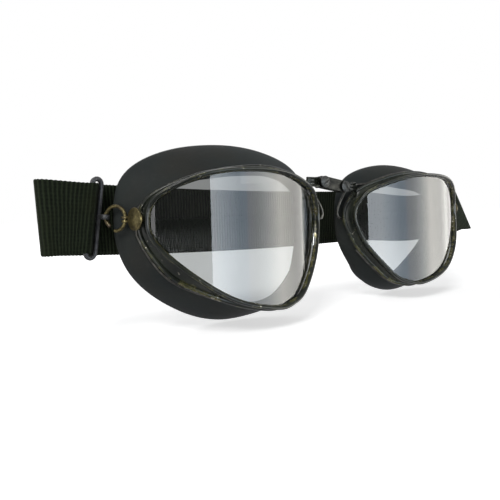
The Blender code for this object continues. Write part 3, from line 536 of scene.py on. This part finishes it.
old_brass, tree, shader = new_finish("aged_brass", (0.15, 0.125, 0.055), 0.4, 0.9)
tarnish = mottle(tree, 420.0, detail=6.0, rough=0.7)
grime = mottle(tree, 150.0, detail=3.0, rough=0.6)
tint = blended(tree, remap(tree, tarnish, 0.36, 0.66), TARNISH_DARK, TARNISH_LIGHT)
tint = blended(tree, remap(tree, grime, 0.50, 0.66), tint, GRIME)
tree.links.new(tint, shader.inputs["Base Color"])
tree.links.new(remap(tree, tarnish, 0.35, 0.7, 0.55, 0.32), shader.inputs["Roughness"])
tree.links.new(remap(tree, grime, 0.50, 0.66, 0.9, 0.35), shader.inputs["Metallic"])
bumped(tree, shader, tarnish, 0.00012, 0.7)

edge_x = EYE_X + LENS_RADIUS * math.sin(OPENING_HALF_ARC / LENS_RADIUS)
edge_y = LENS_AXIS_Y - LENS_RADIUS * math.cos(OPENING_HALF_ARC / LENS_RADIUS)


def temple(side):
    """The temple fitting's frame: X runs back to the ring, Y is down and Z points outward."""
    along = Vector((-math.sin(TEMPLE_ANGLE), math.cos(TEMPLE_ANGLE), 0))
    outward = Vector((-math.cos(TEMPLE_ANGLE), -math.sin(TEMPLE_ANGLE), 0))
    base = Vector((-edge_x - TEMPLE_OUT, edge_y + TEMPLE_BACK, TEMPLE_Z))
    columns = Matrix((along, outward.cross(along), outward)).transposed().to_4x4()
    return Matrix.Diagonal((-SIDES[side], 1, 1, 1)) @ Matrix.Translation(base) @ columns


disc_shares = (
    (0.0, 1.0),
    (0.25, 0.94),
    (0.5, 0.76),
    (0.7, 0.52),
    (0.82, 0.34),
    (0.88, 0.30),
    (0.94, 0.30),
    (0.985, 0.16),
)
seat = RIVET_SEAT + RIVET_EDGE
profile = [(RIVET_RADIUS * out, seat + RIVET_DOME * rise) for out, rise in disc_shares]
profile += [(RIVET_RADIUS, seat), (RIVET_RADIUS * 0.98, RIVET_SEAT), (0, RIVET_SEAT)]
for side in SIDES:
    bm = bmesh.new()
    verts = [bm.verts.new((out, 0, rise)) for out, rise in profile]
    edges = [bm.edges.new(pair) for pair in zip(verts, verts[1:])]
    bmesh.ops.spin(
        bm,
        geom=verts + edges,
        axis=(0, 0, 1),
        angle=2 * math.pi,
        steps=RIVET_STEPS,
        use_merge=True,
    )
    bmesh.ops.remove_doubles(bm, verts=bm.verts, dist=WELD)
    place = temple(side) @ Matrix.Translation((RIVET_ALONG, 0, 0))
    bmesh.ops.transform(bm, matrix=place, verts=bm.verts)
    bmesh.ops.recalc_face_normals(bm, faces=bm.faces)
    body = "cup_" + side
    finished("rivet_disc_" + side, bm, body, old_brass, ["rivet_" + side], sharp=50)
    bm = worked_copy("clip_" + side)
    finished("eye_clip_" + side, bm, body, old_brass, ["clip_" + side], sharp=30)


# Rings
# An open ring of brass wire hangs in each clip's eye. Its lower end is bent back into a tail that
# holds the strap frame's eye.
RING_SPAN = 0.0089
RING_RISE = 0.0004
RING_WIRE_RADIUS = 0.00068
RING_TURN = math.radians(31)
RING_START = math.radians(-95)
RING_END = math.radians(150)
RING_TAIL_IN = 0.0052
RING_TAIL_DROP = 0.0029
CLIP_EYE_ALONG = 0.0047
CLIP_EYE_OUT = 0.0034
EYE_TAB_RISE = 0.0006
EYE_TAB_HEIGHT = 0.0018
TURN_POINTS = 40
RING_POINTS = 110
PATH_STEPS = 24


def ring_start(side):
    """Where the clip's eye holds the ring, and the way along the ring to the strap frame."""
    start = temple(side) @ Vector((CLIP_EYE_ALONG, 0, CLIP_EYE_OUT)) + Vector((0, 0, RING_RISE))
    return start, Vector((SIDES[side] * math.sin(RING_TURN), math.cos(RING_TURN), 0))


def smooth_path(points, count):
    """A smooth open curve through the points."""
    points = np.array(points, float)
    ends = np.vstack([2 * points[0] - points[1], points, 2 * points[-1] - points[-2]])
    steps = np.linspace(0, 1, PATH_STEPS, endpoint=False)[:, None]
    runs = [spline(*ends[i - 1 : i + 3], steps) for i in range(1, len(ends) - 2)]
    return even(np.vstack([*runs, ends[-2:-1]]), count)


def round_wire(points, radius):
    """A round wire drawn along the points, as a welded mesh."""
    curve = bpy.data.curves.new("wire", "CURVE")
    curve.dimensions = "3D"
    curve.bevel_depth = radius
    curve.bevel_resolution = 4
    curve.use_fill_caps = True
    run = curve.splines.new("POLY")
    run.points.add(len(points) - 1)
    for target, point in zip(run.points, points):
        target.co = (*point, 1)
    holder = bpy.data.objects.new("wire", curve)
    bpy.context.scene.collection.objects.link(holder)
    bpy.context.view_layer.update()
    evaluated = holder.evaluated_get(bpy.context.evaluated_depsgraph_get())
    mesh = bpy.data.meshes.new_from_object(evaluated)
    bpy.data.objects.remove(holder)
    bm = bmesh.new()
    bm.from_mesh(mesh)
    bmesh.ops.remove_doubles(bm, verts=bm.verts, dist=radius * 0.01)
    bmesh.ops.recalc_face_normals(bm, faces=bm.faces)
    return bm


radius = RING_SPAN / 2
turns = np.linspace(RING_START, RING_END, TURN_POINTS)
flat = [(-math.cos(turn) * radius, math.sin(turn) * radius) for turn in turns]
flat += [
    (radius * 0.98, EYE_TAB_RISE + EYE_TAB_HEIGHT * 0.6),
    (radius, EYE_TAB_RISE),
    (radius * 0.98, EYE_TAB_RISE - EYE_TAB_HEIGHT * 0.6),
    (RING_TAIL_IN - radius * 0.35, -EYE_TAB_HEIGHT * 0.95),
    (RING_TAIL_IN - radius * 0.6, -RING_TAIL_DROP),
]
for side in SIDES:
    start, along = ring_start(side)
    points = [tuple(start + along * (radius + x) + Vector((0, 0, z))) for x, z in flat]
    bm = round_wire(smooth_path(points, RING_POINTS), RING_WIRE_RADIUS)
    body, replaced = "ring_body_" + side, ["ring_" + side]
    finished("split_ring_" + side, bm, body, old_brass, replaced)


# Strap frames
# Each strap frame is a steel wire bent to a long narrow loop, brazed to a small eye tab at the
# middle of its front bar. The strap is passed round its rear bar and sewn to itself.
LINK_WIRE_RADIUS = 0.00095
LINK_BAR_SPACING = 0.0037
LINK_EYE_REACH = 0.0033
LINK_EYE_ANGLE = math.radians(33)
LINK_ANGLE = math.radians(16)
LOOP_DARK = (0.045, 0.046, 0.048)
LOOP_LIGHT = (0.105, 0.105, 0.108)

loop_steel = steel_finish("loop_steel", LOOP_DARK, LOOP_LIGHT, 0.5, 0.4)


def rear_bar(side):
    """The middle of the strap frame's rear bar, by way of its eye and its front bar."""
    sign = SIDES[side]
    start, along = ring_start(side)
    eye = start + along * RING_SPAN + Vector((0, 0, EYE_TAB_RISE))
    turn = Vector((sign * math.sin(LINK_EYE_ANGLE), math.cos(LINK_EYE_ANGLE), 0))
    across = Vector((sign * math.cos(LINK_ANGLE), -math.sin(LINK_ANGLE), 0))
    return eye + turn * LINK_EYE_REACH + across * LINK_BAR_SPACING


for side in SIDES:
    bm = worked_copy("strap_frame_" + side)
    body, replaced = "buckle_" + side, ["strap_frame_" + side]
    finished("wire_loop_" + side, bm, body, loop_steel, replaced, sharp=50)


# Strap
# The strap is ribbed elastic webbing, near-black green, an inch wide. It is sewn round each strap
# frame, runs on outward, is folded back on itself there and led across behind the lenses.
STRAP_WIDTH = 0.0268
STRAP_BAR_WIDTH = 0.0254
STRAP_THICKNESS = 0.0011
STRAP_BACK_STEP = 0.0044
STRAP_BAR_Z = -0.0121
STRAP_FOLD_Z = -0.0116
STRAP_SAG = 0.0040
STRAP_TAIL = 0.0052
STRAP_FOLD_REACH = {"right": 0.0172, "left": 0.0256}
STRAP_LEANS = {"right": -0.0009, "left": 0.0094}
STRAP_WRAP_LEAN = 0.0016
STRAP_LEAN_RUN = 0.060
STRAP_FRONT_DRIFT = 0.0006
STRAP_SETTLES = {"right": 0, "left": 0.0042}
STRAP_SETTLE_START = 0.030
STRAP_SETTLE_RUN = 0.060
STRAP_TIP_RISES = {"right": 0, "left": 0.0026}
STRAP_TIP_START = 0.112
STRAP_TIP_RUN = 0.026
SCREW_CLEARANCE = 0.0002
RIB_PITCH = 0.0013
RIB_HEIGHT = 0.00008
WARP_PITCH = 0.0013
STATION = 0.00026
STRAP_JOINS_X = {"right": 0.1197, "left": 0.1285}
STRAP_MID_X = 0.060
BUCKLE_HOLDS_X = 0.1095
RING_HOLDS_X = 0.118
CUP_HOLDS_X = 0.061
CUP_LEAVES_X = 0.059
BRIDGE_HOLDS_X = 0.005
# Yarn colours: the dark end holds painted shade in the rib grooves, the light end painted light on
# the rib crests.
YARN_DARK_IN_SHADED_GROOVE = (0.0012, 0.0022, 0.0010)
YARN_LIGHT_ON_LIT_CREST = (0.0270, 0.0370, 0.0200)
YARN_FADED = (0.018, 0.020, 0.008)

webbing, tree, shader = new_finish("ribbed_webbing", (0.012, 0.016, 0.010), 0.85)
shader.inputs["Sheen Weight"].default_value = 0.04
shader.inputs["Sheen Roughness"].default_value = 0.5
shader.inputs["Specular IOR Level"].default_value = 0.1
run = node(tree, "ShaderNodeUVMap", uv_map="run").outputs["UV"]
parts = node(tree, "ShaderNodeSeparateXYZ", {0: run})
wander = maths(tree, "MULTIPLY", mottle(tree, 160.0, detail=2.0), 0.0006)
along = maths(tree, "ADD", parts.outputs["X"], wander)
rib_relief_and_shade = maths(tree, "MULTIPLY", mottle(tree, 1500.0, detail=3.0, rough=0.7), 0.8)
for distance, pitch, weight in (
    (along, RIB_PITCH, 0.6),
    (along, RIB_PITCH / 2, 0.1),
    (parts.outputs["Y"], WARP_PITCH, 0.1),
):
    wave = maths(tree, "COSINE", maths(tree, "MULTIPLY", distance, 2 * math.pi / pitch))
    rib_relief_and_shade = maths(tree, "ADD", rib_relief_and_shade, maths(tree, "MULTIPLY", wave, weight))
# The rib relief also sets the colour: painted shade in the grooves and painted light on the
# crests, over a fine random yarn tone.
tint = blended(tree, remap(tree, rib_relief_and_shade, -0.4, 1.1), YARN_DARK_IN_SHADED_GROOVE, YARN_LIGHT_ON_LIT_CREST)
faded = remap(tree, mottle(tree, 80.0), 0.52, 0.78, 0.0, 0.45)
tree.links.new(blended(tree, faded, tint, YARN_FADED), shader.inputs["Base Color"])
bumped(tree, shader, rib_relief_and_shade, 0.00018, 0.8)


def strap_plan(side):
    """Plan path of half the strap, from its sewn tail to the middle of the back, as for the
    right eye, and how far along it the buckle and the fold are."""
    bar = rear_bar("right")
    wrap = LINK_WIRE_RADIUS + SCREW_CLEARANCE + STRAP_THICKNESS / 2
    back_y = bar.y + STRAP_BACK_STEP
    turn = (STRAP_BACK_STEP + wrap - STRAP_FRONT_DRIFT) / 2
    fold_x = -(STRAP_FOLD_REACH[side] - bar.x - STRAP_THICKNESS / 2 - turn)
    front_y = bar.y - wrap + STRAP_FRONT_DRIFT
    tail_y = front_y + STRAP_THICKNESS + GAP
    points = [(bar.x - STRAP_TAIL, tail_y), (bar.x - STRAP_TAIL * 0.6, tail_y + GAP)]
    for angle in np.linspace(math.pi / 2 + 0.2, -math.pi / 2, 11):
        points.append((bar.x + wrap * math.cos(angle), bar.y + wrap * math.sin(angle)))
    buckle = len(points) - 1
    for share in (0.2, 0.4, 0.6, 0.8):
        drift = STRAP_FRONT_DRIFT * (1 - share) / 2
        points.append((bar.x + (fold_x - bar.x) * share, front_y - drift))
    for angle in np.linspace(-math.pi / 2, -math.pi * 1.5, 11):
        points.append((fold_x + turn * math.cos(angle), back_y - turn + turn * math.sin(angle)))
    fold = len(points) - 6
    points += [(x, back_y) for x in np.linspace(fold_x + STRAP_TAIL, 0, 13)]
    points = np.array(points)
    length = np.r_[0, np.cumsum(np.linalg.norm(np.diff(points, axis=0), axis=1))]
    path = smooth_path(points, int(length[-1] / STATION))
    return path, length[buckle], length[fold]


def strap_stations(side):
    """For each station: plan point, plan normal, run so far, middle height, width and lean."""
    path, buckle, fold = strap_plan(side)
    length = np.r_[0, np.cumsum(np.linalg.norm(np.diff(path, axis=0), axis=1))]
    before = np.clip((length - buckle) / (fold - buckle), 0, 1)
    after = np.clip((length - fold) / STRAP_LEAN_RUN, 0, 1)
    before, after = (share**2 * (3 - 2 * share) for share in (before, after))
    lean = (STRAP_WRAP_LEAN * (1 - before) + STRAP_LEANS[side] * before) * (1 - after)
    sag = np.where(length < fold, 0, STRAP_SAG * (1 - (path[:, 0] / path[:, 0].min()) ** 2))
    outer = np.clip((-path[:, 0] - STRAP_SETTLE_START) / STRAP_SETTLE_RUN, 0, 1)
    tip = np.clip((-path[:, 0] - STRAP_TIP_START) / STRAP_TIP_RUN, 0, 1)
    outer, tip = (share**2 * (3 - 2 * share) for share in (outer, tip))
    settled = (STRAP_SETTLES[side] * outer - STRAP_TIP_RISES[side] * tip) * before
    middle = STRAP_BAR_Z + (STRAP_FOLD_Z - STRAP_BAR_Z) * before - sag - settled
    width = STRAP_BAR_WIDTH + (STRAP_WIDTH - STRAP_BAR_WIDTH) * before
    step = np.gradient(path, axis=0)
    normal = np.stack([-step[:, 1], step[:, 0]], axis=1)
    normal /= np.linalg.norm(normal, axis=1)[:, None]
    return path, normal, length, middle, width, lean


rows = np.linspace(0.96, -0.96, 25)
strap_section = [(1.0, row) for row in rows]
strap_section += [(0.7, -0.99), (0.0, -1.0), (-0.7, -0.99)]
strap_section += [(-1.0, row) for row in rows[::-1]]
strap_section += [(-0.7, 0.99), (0.0, 1.0), (0.7, 0.99)]


def strap_piece(name, side, first, last):
    """A length of the webbing between two of its stations, with its ribs, as a closed tube."""
    stations = strap_stations(side)
    path, normal, length, middle, width, lean = (part[first : last + 1] for part in stations)
    around = len(strap_section)
    bm = bmesh.new()
    uv = bm.loops.layers.uv.new("run")
    bmesh.ops.create_grid(bm, x_segments=len(path) - 1, y_segments=around, size=1, calc_uvs=True)
    ribs = np.cos(2 * math.pi * length / RIB_PITCH)
    for vert in bm.verts:
        i = round((vert.co.x + 1) / 2 * (len(path) - 1))
        out, edge = strap_section[round((vert.co.y + 1) / 2 * around) % around]
        plan = path[i] + normal[i] * out * (STRAP_THICKNESS / 2 + RIB_HEIGHT * (ribs[i] - 1) / 2)
        reach = edge * (width[i] / 2 + RIB_HEIGHT * (ribs[i] - 1))
        vert.co = ((plan[0] + lean[i] * edge) * -SIDES[side], plan[1], middle[i] + reach)
    for face in bm.faces:
        for loop in face.loops:
            u, v = loop[uv].uv
            loop[uv].uv = (length[0] + u * (length[-1] - length[0]), v * 2 * STRAP_WIDTH)
    bmesh.ops.remove_doubles(bm, verts=bm.verts, dist=WELD)
    bmesh.ops.holes_fill(bm, edges=bm.edges, sides=0)
    bmesh.ops.recalc_face_normals(bm, faces=bm.faces)
    return finished(name + side, bm, None, webbing, ["strap"], sharp=60)


# The joins stand clear of the stretches that bend, also where the left fold leans.
for side, sign in SIDES.items():
    path, _, fold = strap_plan(side)
    back = np.arange(len(path)) * STATION > fold
    join = int(np.argmin(np.where(back, np.abs(path[:, 0] + STRAP_JOINS_X[side]), 1)))
    mid = int(np.argmin(np.where(back, np.abs(path[:, 0] + STRAP_MID_X), 1)))
    y, z = path[-1][1], STRAP_BAR_Z
    buckle_end = strap_piece("strap_fold_", side, 0, join)
    start, end = (sign * BUCKLE_HOLDS_X, y, z), (sign * RING_HOLDS_X, y, z)
    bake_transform(buckle_end)
    ring_end = strap_piece("strap_side_", side, join, mid)
    start, end = (sign * RING_HOLDS_X, y, z), (sign * CUP_HOLDS_X, y, z)
    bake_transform(ring_end)
    centre = strap_piece("strap_back_", side, mid, len(path) - 1)
    start, end = (sign * CUP_LEAVES_X, y, z), (sign * BRIDGE_HOLDS_X, y, z)
    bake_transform(centre)


# Bridge
# Two darkened steel link plates lie in front of and behind the ribbed lugs of the frames. Slotted
# screws with hexagon nuts hold them together, and the cups turn on these screws.
CORNER_ANGLE = 1.0
CORNER_ROUND = 0.00018
PLATE_DARK = (0.007, 0.007, 0.006)
PLATE_LIGHT = (0.024, 0.024, 0.020)
SCREW_DARK = (0.026, 0.027, 0.026)
SCREW_LIGHT = (0.075, 0.075, 0.070)

plate_steel = steel_finish("darkened_steel", PLATE_DARK, PLATE_LIGHT, 0.46, 0.85)
screw_steel = steel_finish("screw_steel", SCREW_DARK, SCREW_LIGHT, 0.48, 0.65)
lug_paint = old_paint("lug_enamel", 0.2)
for name in ("link_front", "link_rear"):
    bm = worked_copy(name)
    whole = [edge for edge in bm.edges if edge.is_manifold]
    corners = [edge for edge in whole if edge.calc_face_angle() > CORNER_ANGLE]
    bmesh.ops.bevel(
        bm,
        geom=corners,
        offset=CORNER_ROUND,
        segments=2,
        profile=0.5,
        affect="EDGES",
        material=-1,
    )
    bmesh.ops.recalc_face_normals(bm, faces=bm.faces)
    finished(name + "_plate", bm, "bridge", plate_steel, [name], sharp=30)
for side in SIDES:
    for name, body, material, slot in (
        ("screw_", "bridge", screw_steel, "bridge_steel"),
        ("nut_", "bridge", screw_steel, "bridge_steel"),
        ("lug_", "cup_" + side, lug_paint, "frame_paint"),
    ):
        source = name + side
        finished("worn_" + source, worked_copy(source), body, material, [source], sharp=30)


# Studio
# A plain pale floor, with a broad soft key lamp from the upper left, a weak fill and a back lamp.
# The glass mirrors a long bright window, and beside it a dark screen that stands near the camera.
FLOOR_HALF_SIZE = 6.0
FLOOR_GAP = 0.0002

floor_mesh = bpy.data.meshes.new("floor")
bm = bmesh.new()
bmesh.ops.create_grid(bm, x_segments=2, y_segments=2, size=FLOOR_HALF_SIZE)
bmesh.ops.translate(bm, verts=bm.verts, vec=(0, 0, cad_box[0][2] - FLOOR_GAP))
bm.to_mesh(floor_mesh)
bm.free()
floor = bpy.data.objects.new("floor", floor_mesh)
bpy.context.scene.collection.objects.link(floor)
pale, tree, shader = new_finish("pale_floor", (0.9, 0.9, 0.9), 0.9)
shader.inputs["Specular IOR Level"].default_value = 0.0
seen = node(tree, "ShaderNodeLightPath")
away = node(tree, "ShaderNodeVectorMath", {0: on_object(tree)}, operation="LENGTH")
paler = remap(tree, away.outputs["Value"], 0.12, 0.45, 0.62, 0.98)
direct = maths(tree, "MULTIPLY", seen.outputs["Is Camera Ray"], paler)
through = maths(tree, "MULTIPLY", seen.outputs["Is Transmission Ray"], 0.04)
shader.inputs["Emission Color"].default_value = (1, 1, 1, 1)
tree.links.new(maths(tree, "ADD", direct, through), shader.inputs["Emission Strength"])
floor_mesh.materials.append(pale)
floor.visible_glossy = False

SCREEN_Y = -0.482
SCREEN_LEFT = -0.531
SCREEN_RIGHT = -0.0947
SCREEN_HALF_HEIGHT = 0.5
screen_mesh = bpy.data.meshes.new("dark_screen")
bm = bmesh.new()
bmesh.ops.create_grid(bm, x_segments=1, y_segments=1, size=0.5)
bmesh.ops.rotate(bm, matrix=Matrix.Rotation(math.pi / 2, 3, "X"), verts=bm.verts)
bmesh.ops.scale(bm, vec=(SCREEN_RIGHT - SCREEN_LEFT, 1, 2 * SCREEN_HALF_HEIGHT), verts=bm.verts)
bmesh.ops.translate(bm, vec=((SCREEN_LEFT + SCREEN_RIGHT) / 2, SCREEN_Y, 0), verts=bm.verts)
bm.to_mesh(screen_mesh)
bm.free()
screen = bpy.data.objects.new("dark_screen", screen_mesh)
bpy.context.scene.collection.objects.link(screen)
screen_mesh.materials.append(new_finish("dark_cloth", (0.01, 0.01, 0.01), 1.0)[0])
screen.visible_camera = False
screen.visible_diffuse = False
screen.visible_transmission = False
screen.visible_shadow = False

world = bpy.data.worlds.new("studio")
bpy.context.scene.world = world
world.use_nodes = True
tree = world.node_tree
looking = node(tree, "ShaderNodeTexCoord").outputs["Generated"]
way = node(tree, "ShaderNodeSeparateXYZ", {0: looking})
turn = maths(tree, "ARCTAN2", way.outputs["X"], maths(tree, "MULTIPLY", way.outputs["Y"], -1.0))
level = maths(tree, "ABSOLUTE", maths(tree, "ADD", way.outputs["Z"], 0.06))
level = remap(tree, level, 0.2, 0.34, 1.0, 0.0)
stripes = node(tree, "ShaderNodeValToRGB", {"Fac": remap(tree, turn, -math.pi, math.pi)})
room = (0.09, 0.09, 0.09)
# What the room holds, by degrees round from straight ahead of the wearer.
window = (
    (-120, room),
    (-60, (0.31, 0.31, 0.31)),
    (-38, (0.38, 0.38, 0.38)),
    (-36, (0.012, 0.012, 0.012)),
    (-17, (0.012, 0.012, 0.012)),
    (-15.5, (0.72, 0.78, 0.84)),
    (-0.5, (0.72, 0.78, 0.84)),
    (4, (0.62, 0.70, 0.77)),
    (10, (0.50, 0.57, 0.65)),
    (20, (0.31, 0.38, 0.45)),
    (25.5, (0.31, 0.37, 0.44)),
    (26.5, (0.36, 0.38, 0.42)),
    (34, (0.40, 0.42, 0.43)),
    (42, (0.54, 0.56, 0.56)),
    (50, (0.72, 0.72, 0.69)),
    (57, (0.86, 0.84, 0.79)),
    (66, (0.62, 0.61, 0.57)),
    (75, (0.45, 0.44, 0.42)),
    (88, (0.46, 0.455, 0.43)),
    (97, (0.22, 0.21, 0.205)),
    (130, (0.12, 0.12, 0.12)),
)
for element in stripes.color_ramp.elements:
    element.color = (*room, 1)
for angle, colour in window:
    stripes.color_ramp.elements.new((angle + 180) / 360).color = (*colour, 1)
seen = node(tree, "ShaderNodeLightPath")
mirrored = blended(tree, level, (0.063, 0.063, 0.066), stripes.outputs["Color"])
shown = node(tree, "ShaderNodeBackground", {"Color": (0.95, 0.97, 1.0, 1), "Strength": 0.18})
for ray, colour, strength in (
    ("Is Glossy Ray", mirrored, 8.0),
    ("Is Transmission Ray", (1, 1, 1, 1), 0.27),
    ("Is Camera Ray", (1, 1, 1, 1), 1.0),
):
    other = node(tree, "ShaderNodeBackground", {"Color": colour, "Strength": strength})
    inputs = {0: seen.outputs[ray], 1: shown.outputs[0], 2: other.outputs[0]}
    shown = node(tree, "ShaderNodeMixShader", inputs)
tree.links.new(shown.outputs[0], tree.nodes["World Output"].inputs["Surface"])

LAMP_AIM = Vector((0, 0, -0.02))
LAMPS = (
    ("key", (-0.75, -0.45, 0.8), (0.5, 0.4), 6.6),
    ("fill", (0.5, -0.8, 0.3), (0.5, 0.5), 0.4),
    ("back", (0.1, 0.8, 0.6), (0.8, 0.4), 2.0),
)
for name, spot, size, power in LAMPS:
    lamp = bpy.data.lights.new(name, "AREA")
    lamp.shape = "RECTANGLE"
    lamp.size, lamp.size_y = size
    lamp.energy = power
    softbox = bpy.data.objects.new(name, lamp)
    bpy.context.scene.collection.objects.link(softbox)
    softbox.location = spot
    softbox.rotation_euler = (LAMP_AIM - Vector(spot)).to_track_quat("-Z", "Y").to_euler()

# The camera stands about 0.18 m from the right temple, level with the lenses.
CAMERA_SPOT = Vector((-0.1609, -0.1576, -0.0121))
CAMERA_WAY = Vector((0.580, 0.814, 0.008))
CAMERA_ROLL = -0.031
CAMERA_LENS = 34.55
CAMERA_SENSOR = 36
CAMERA_SHIFT = -0.0817
CAMERA_NEAREST = 0.01
forward = CAMERA_WAY.normalized()
right = forward.cross(Vector((0, 0, 1))).normalized()
up = right.cross(forward)
camera_up = up * math.cos(CAMERA_ROLL) - right * math.sin(CAMERA_ROLL)
camera_right = right * math.cos(CAMERA_ROLL) + up * math.sin(CAMERA_ROLL)
camera = bpy.data.objects.new("camera", bpy.data.cameras.new("camera"))
bpy.context.scene.collection.objects.link(camera)
turned = Matrix((camera_right, camera_up, -forward)).transposed().to_4x4()
camera.matrix_world = Matrix.Translation(CAMERA_SPOT) @ turned
camera.data.lens = CAMERA_LENS
camera.data.sensor_width = CAMERA_SENSOR
camera.data.shift_y = CAMERA_SHIFT
camera.data.clip_start = CAMERA_NEAREST
bpy.context.scene.camera = camera
bpy.context.scene.view_settings.view_transform = "Standard"
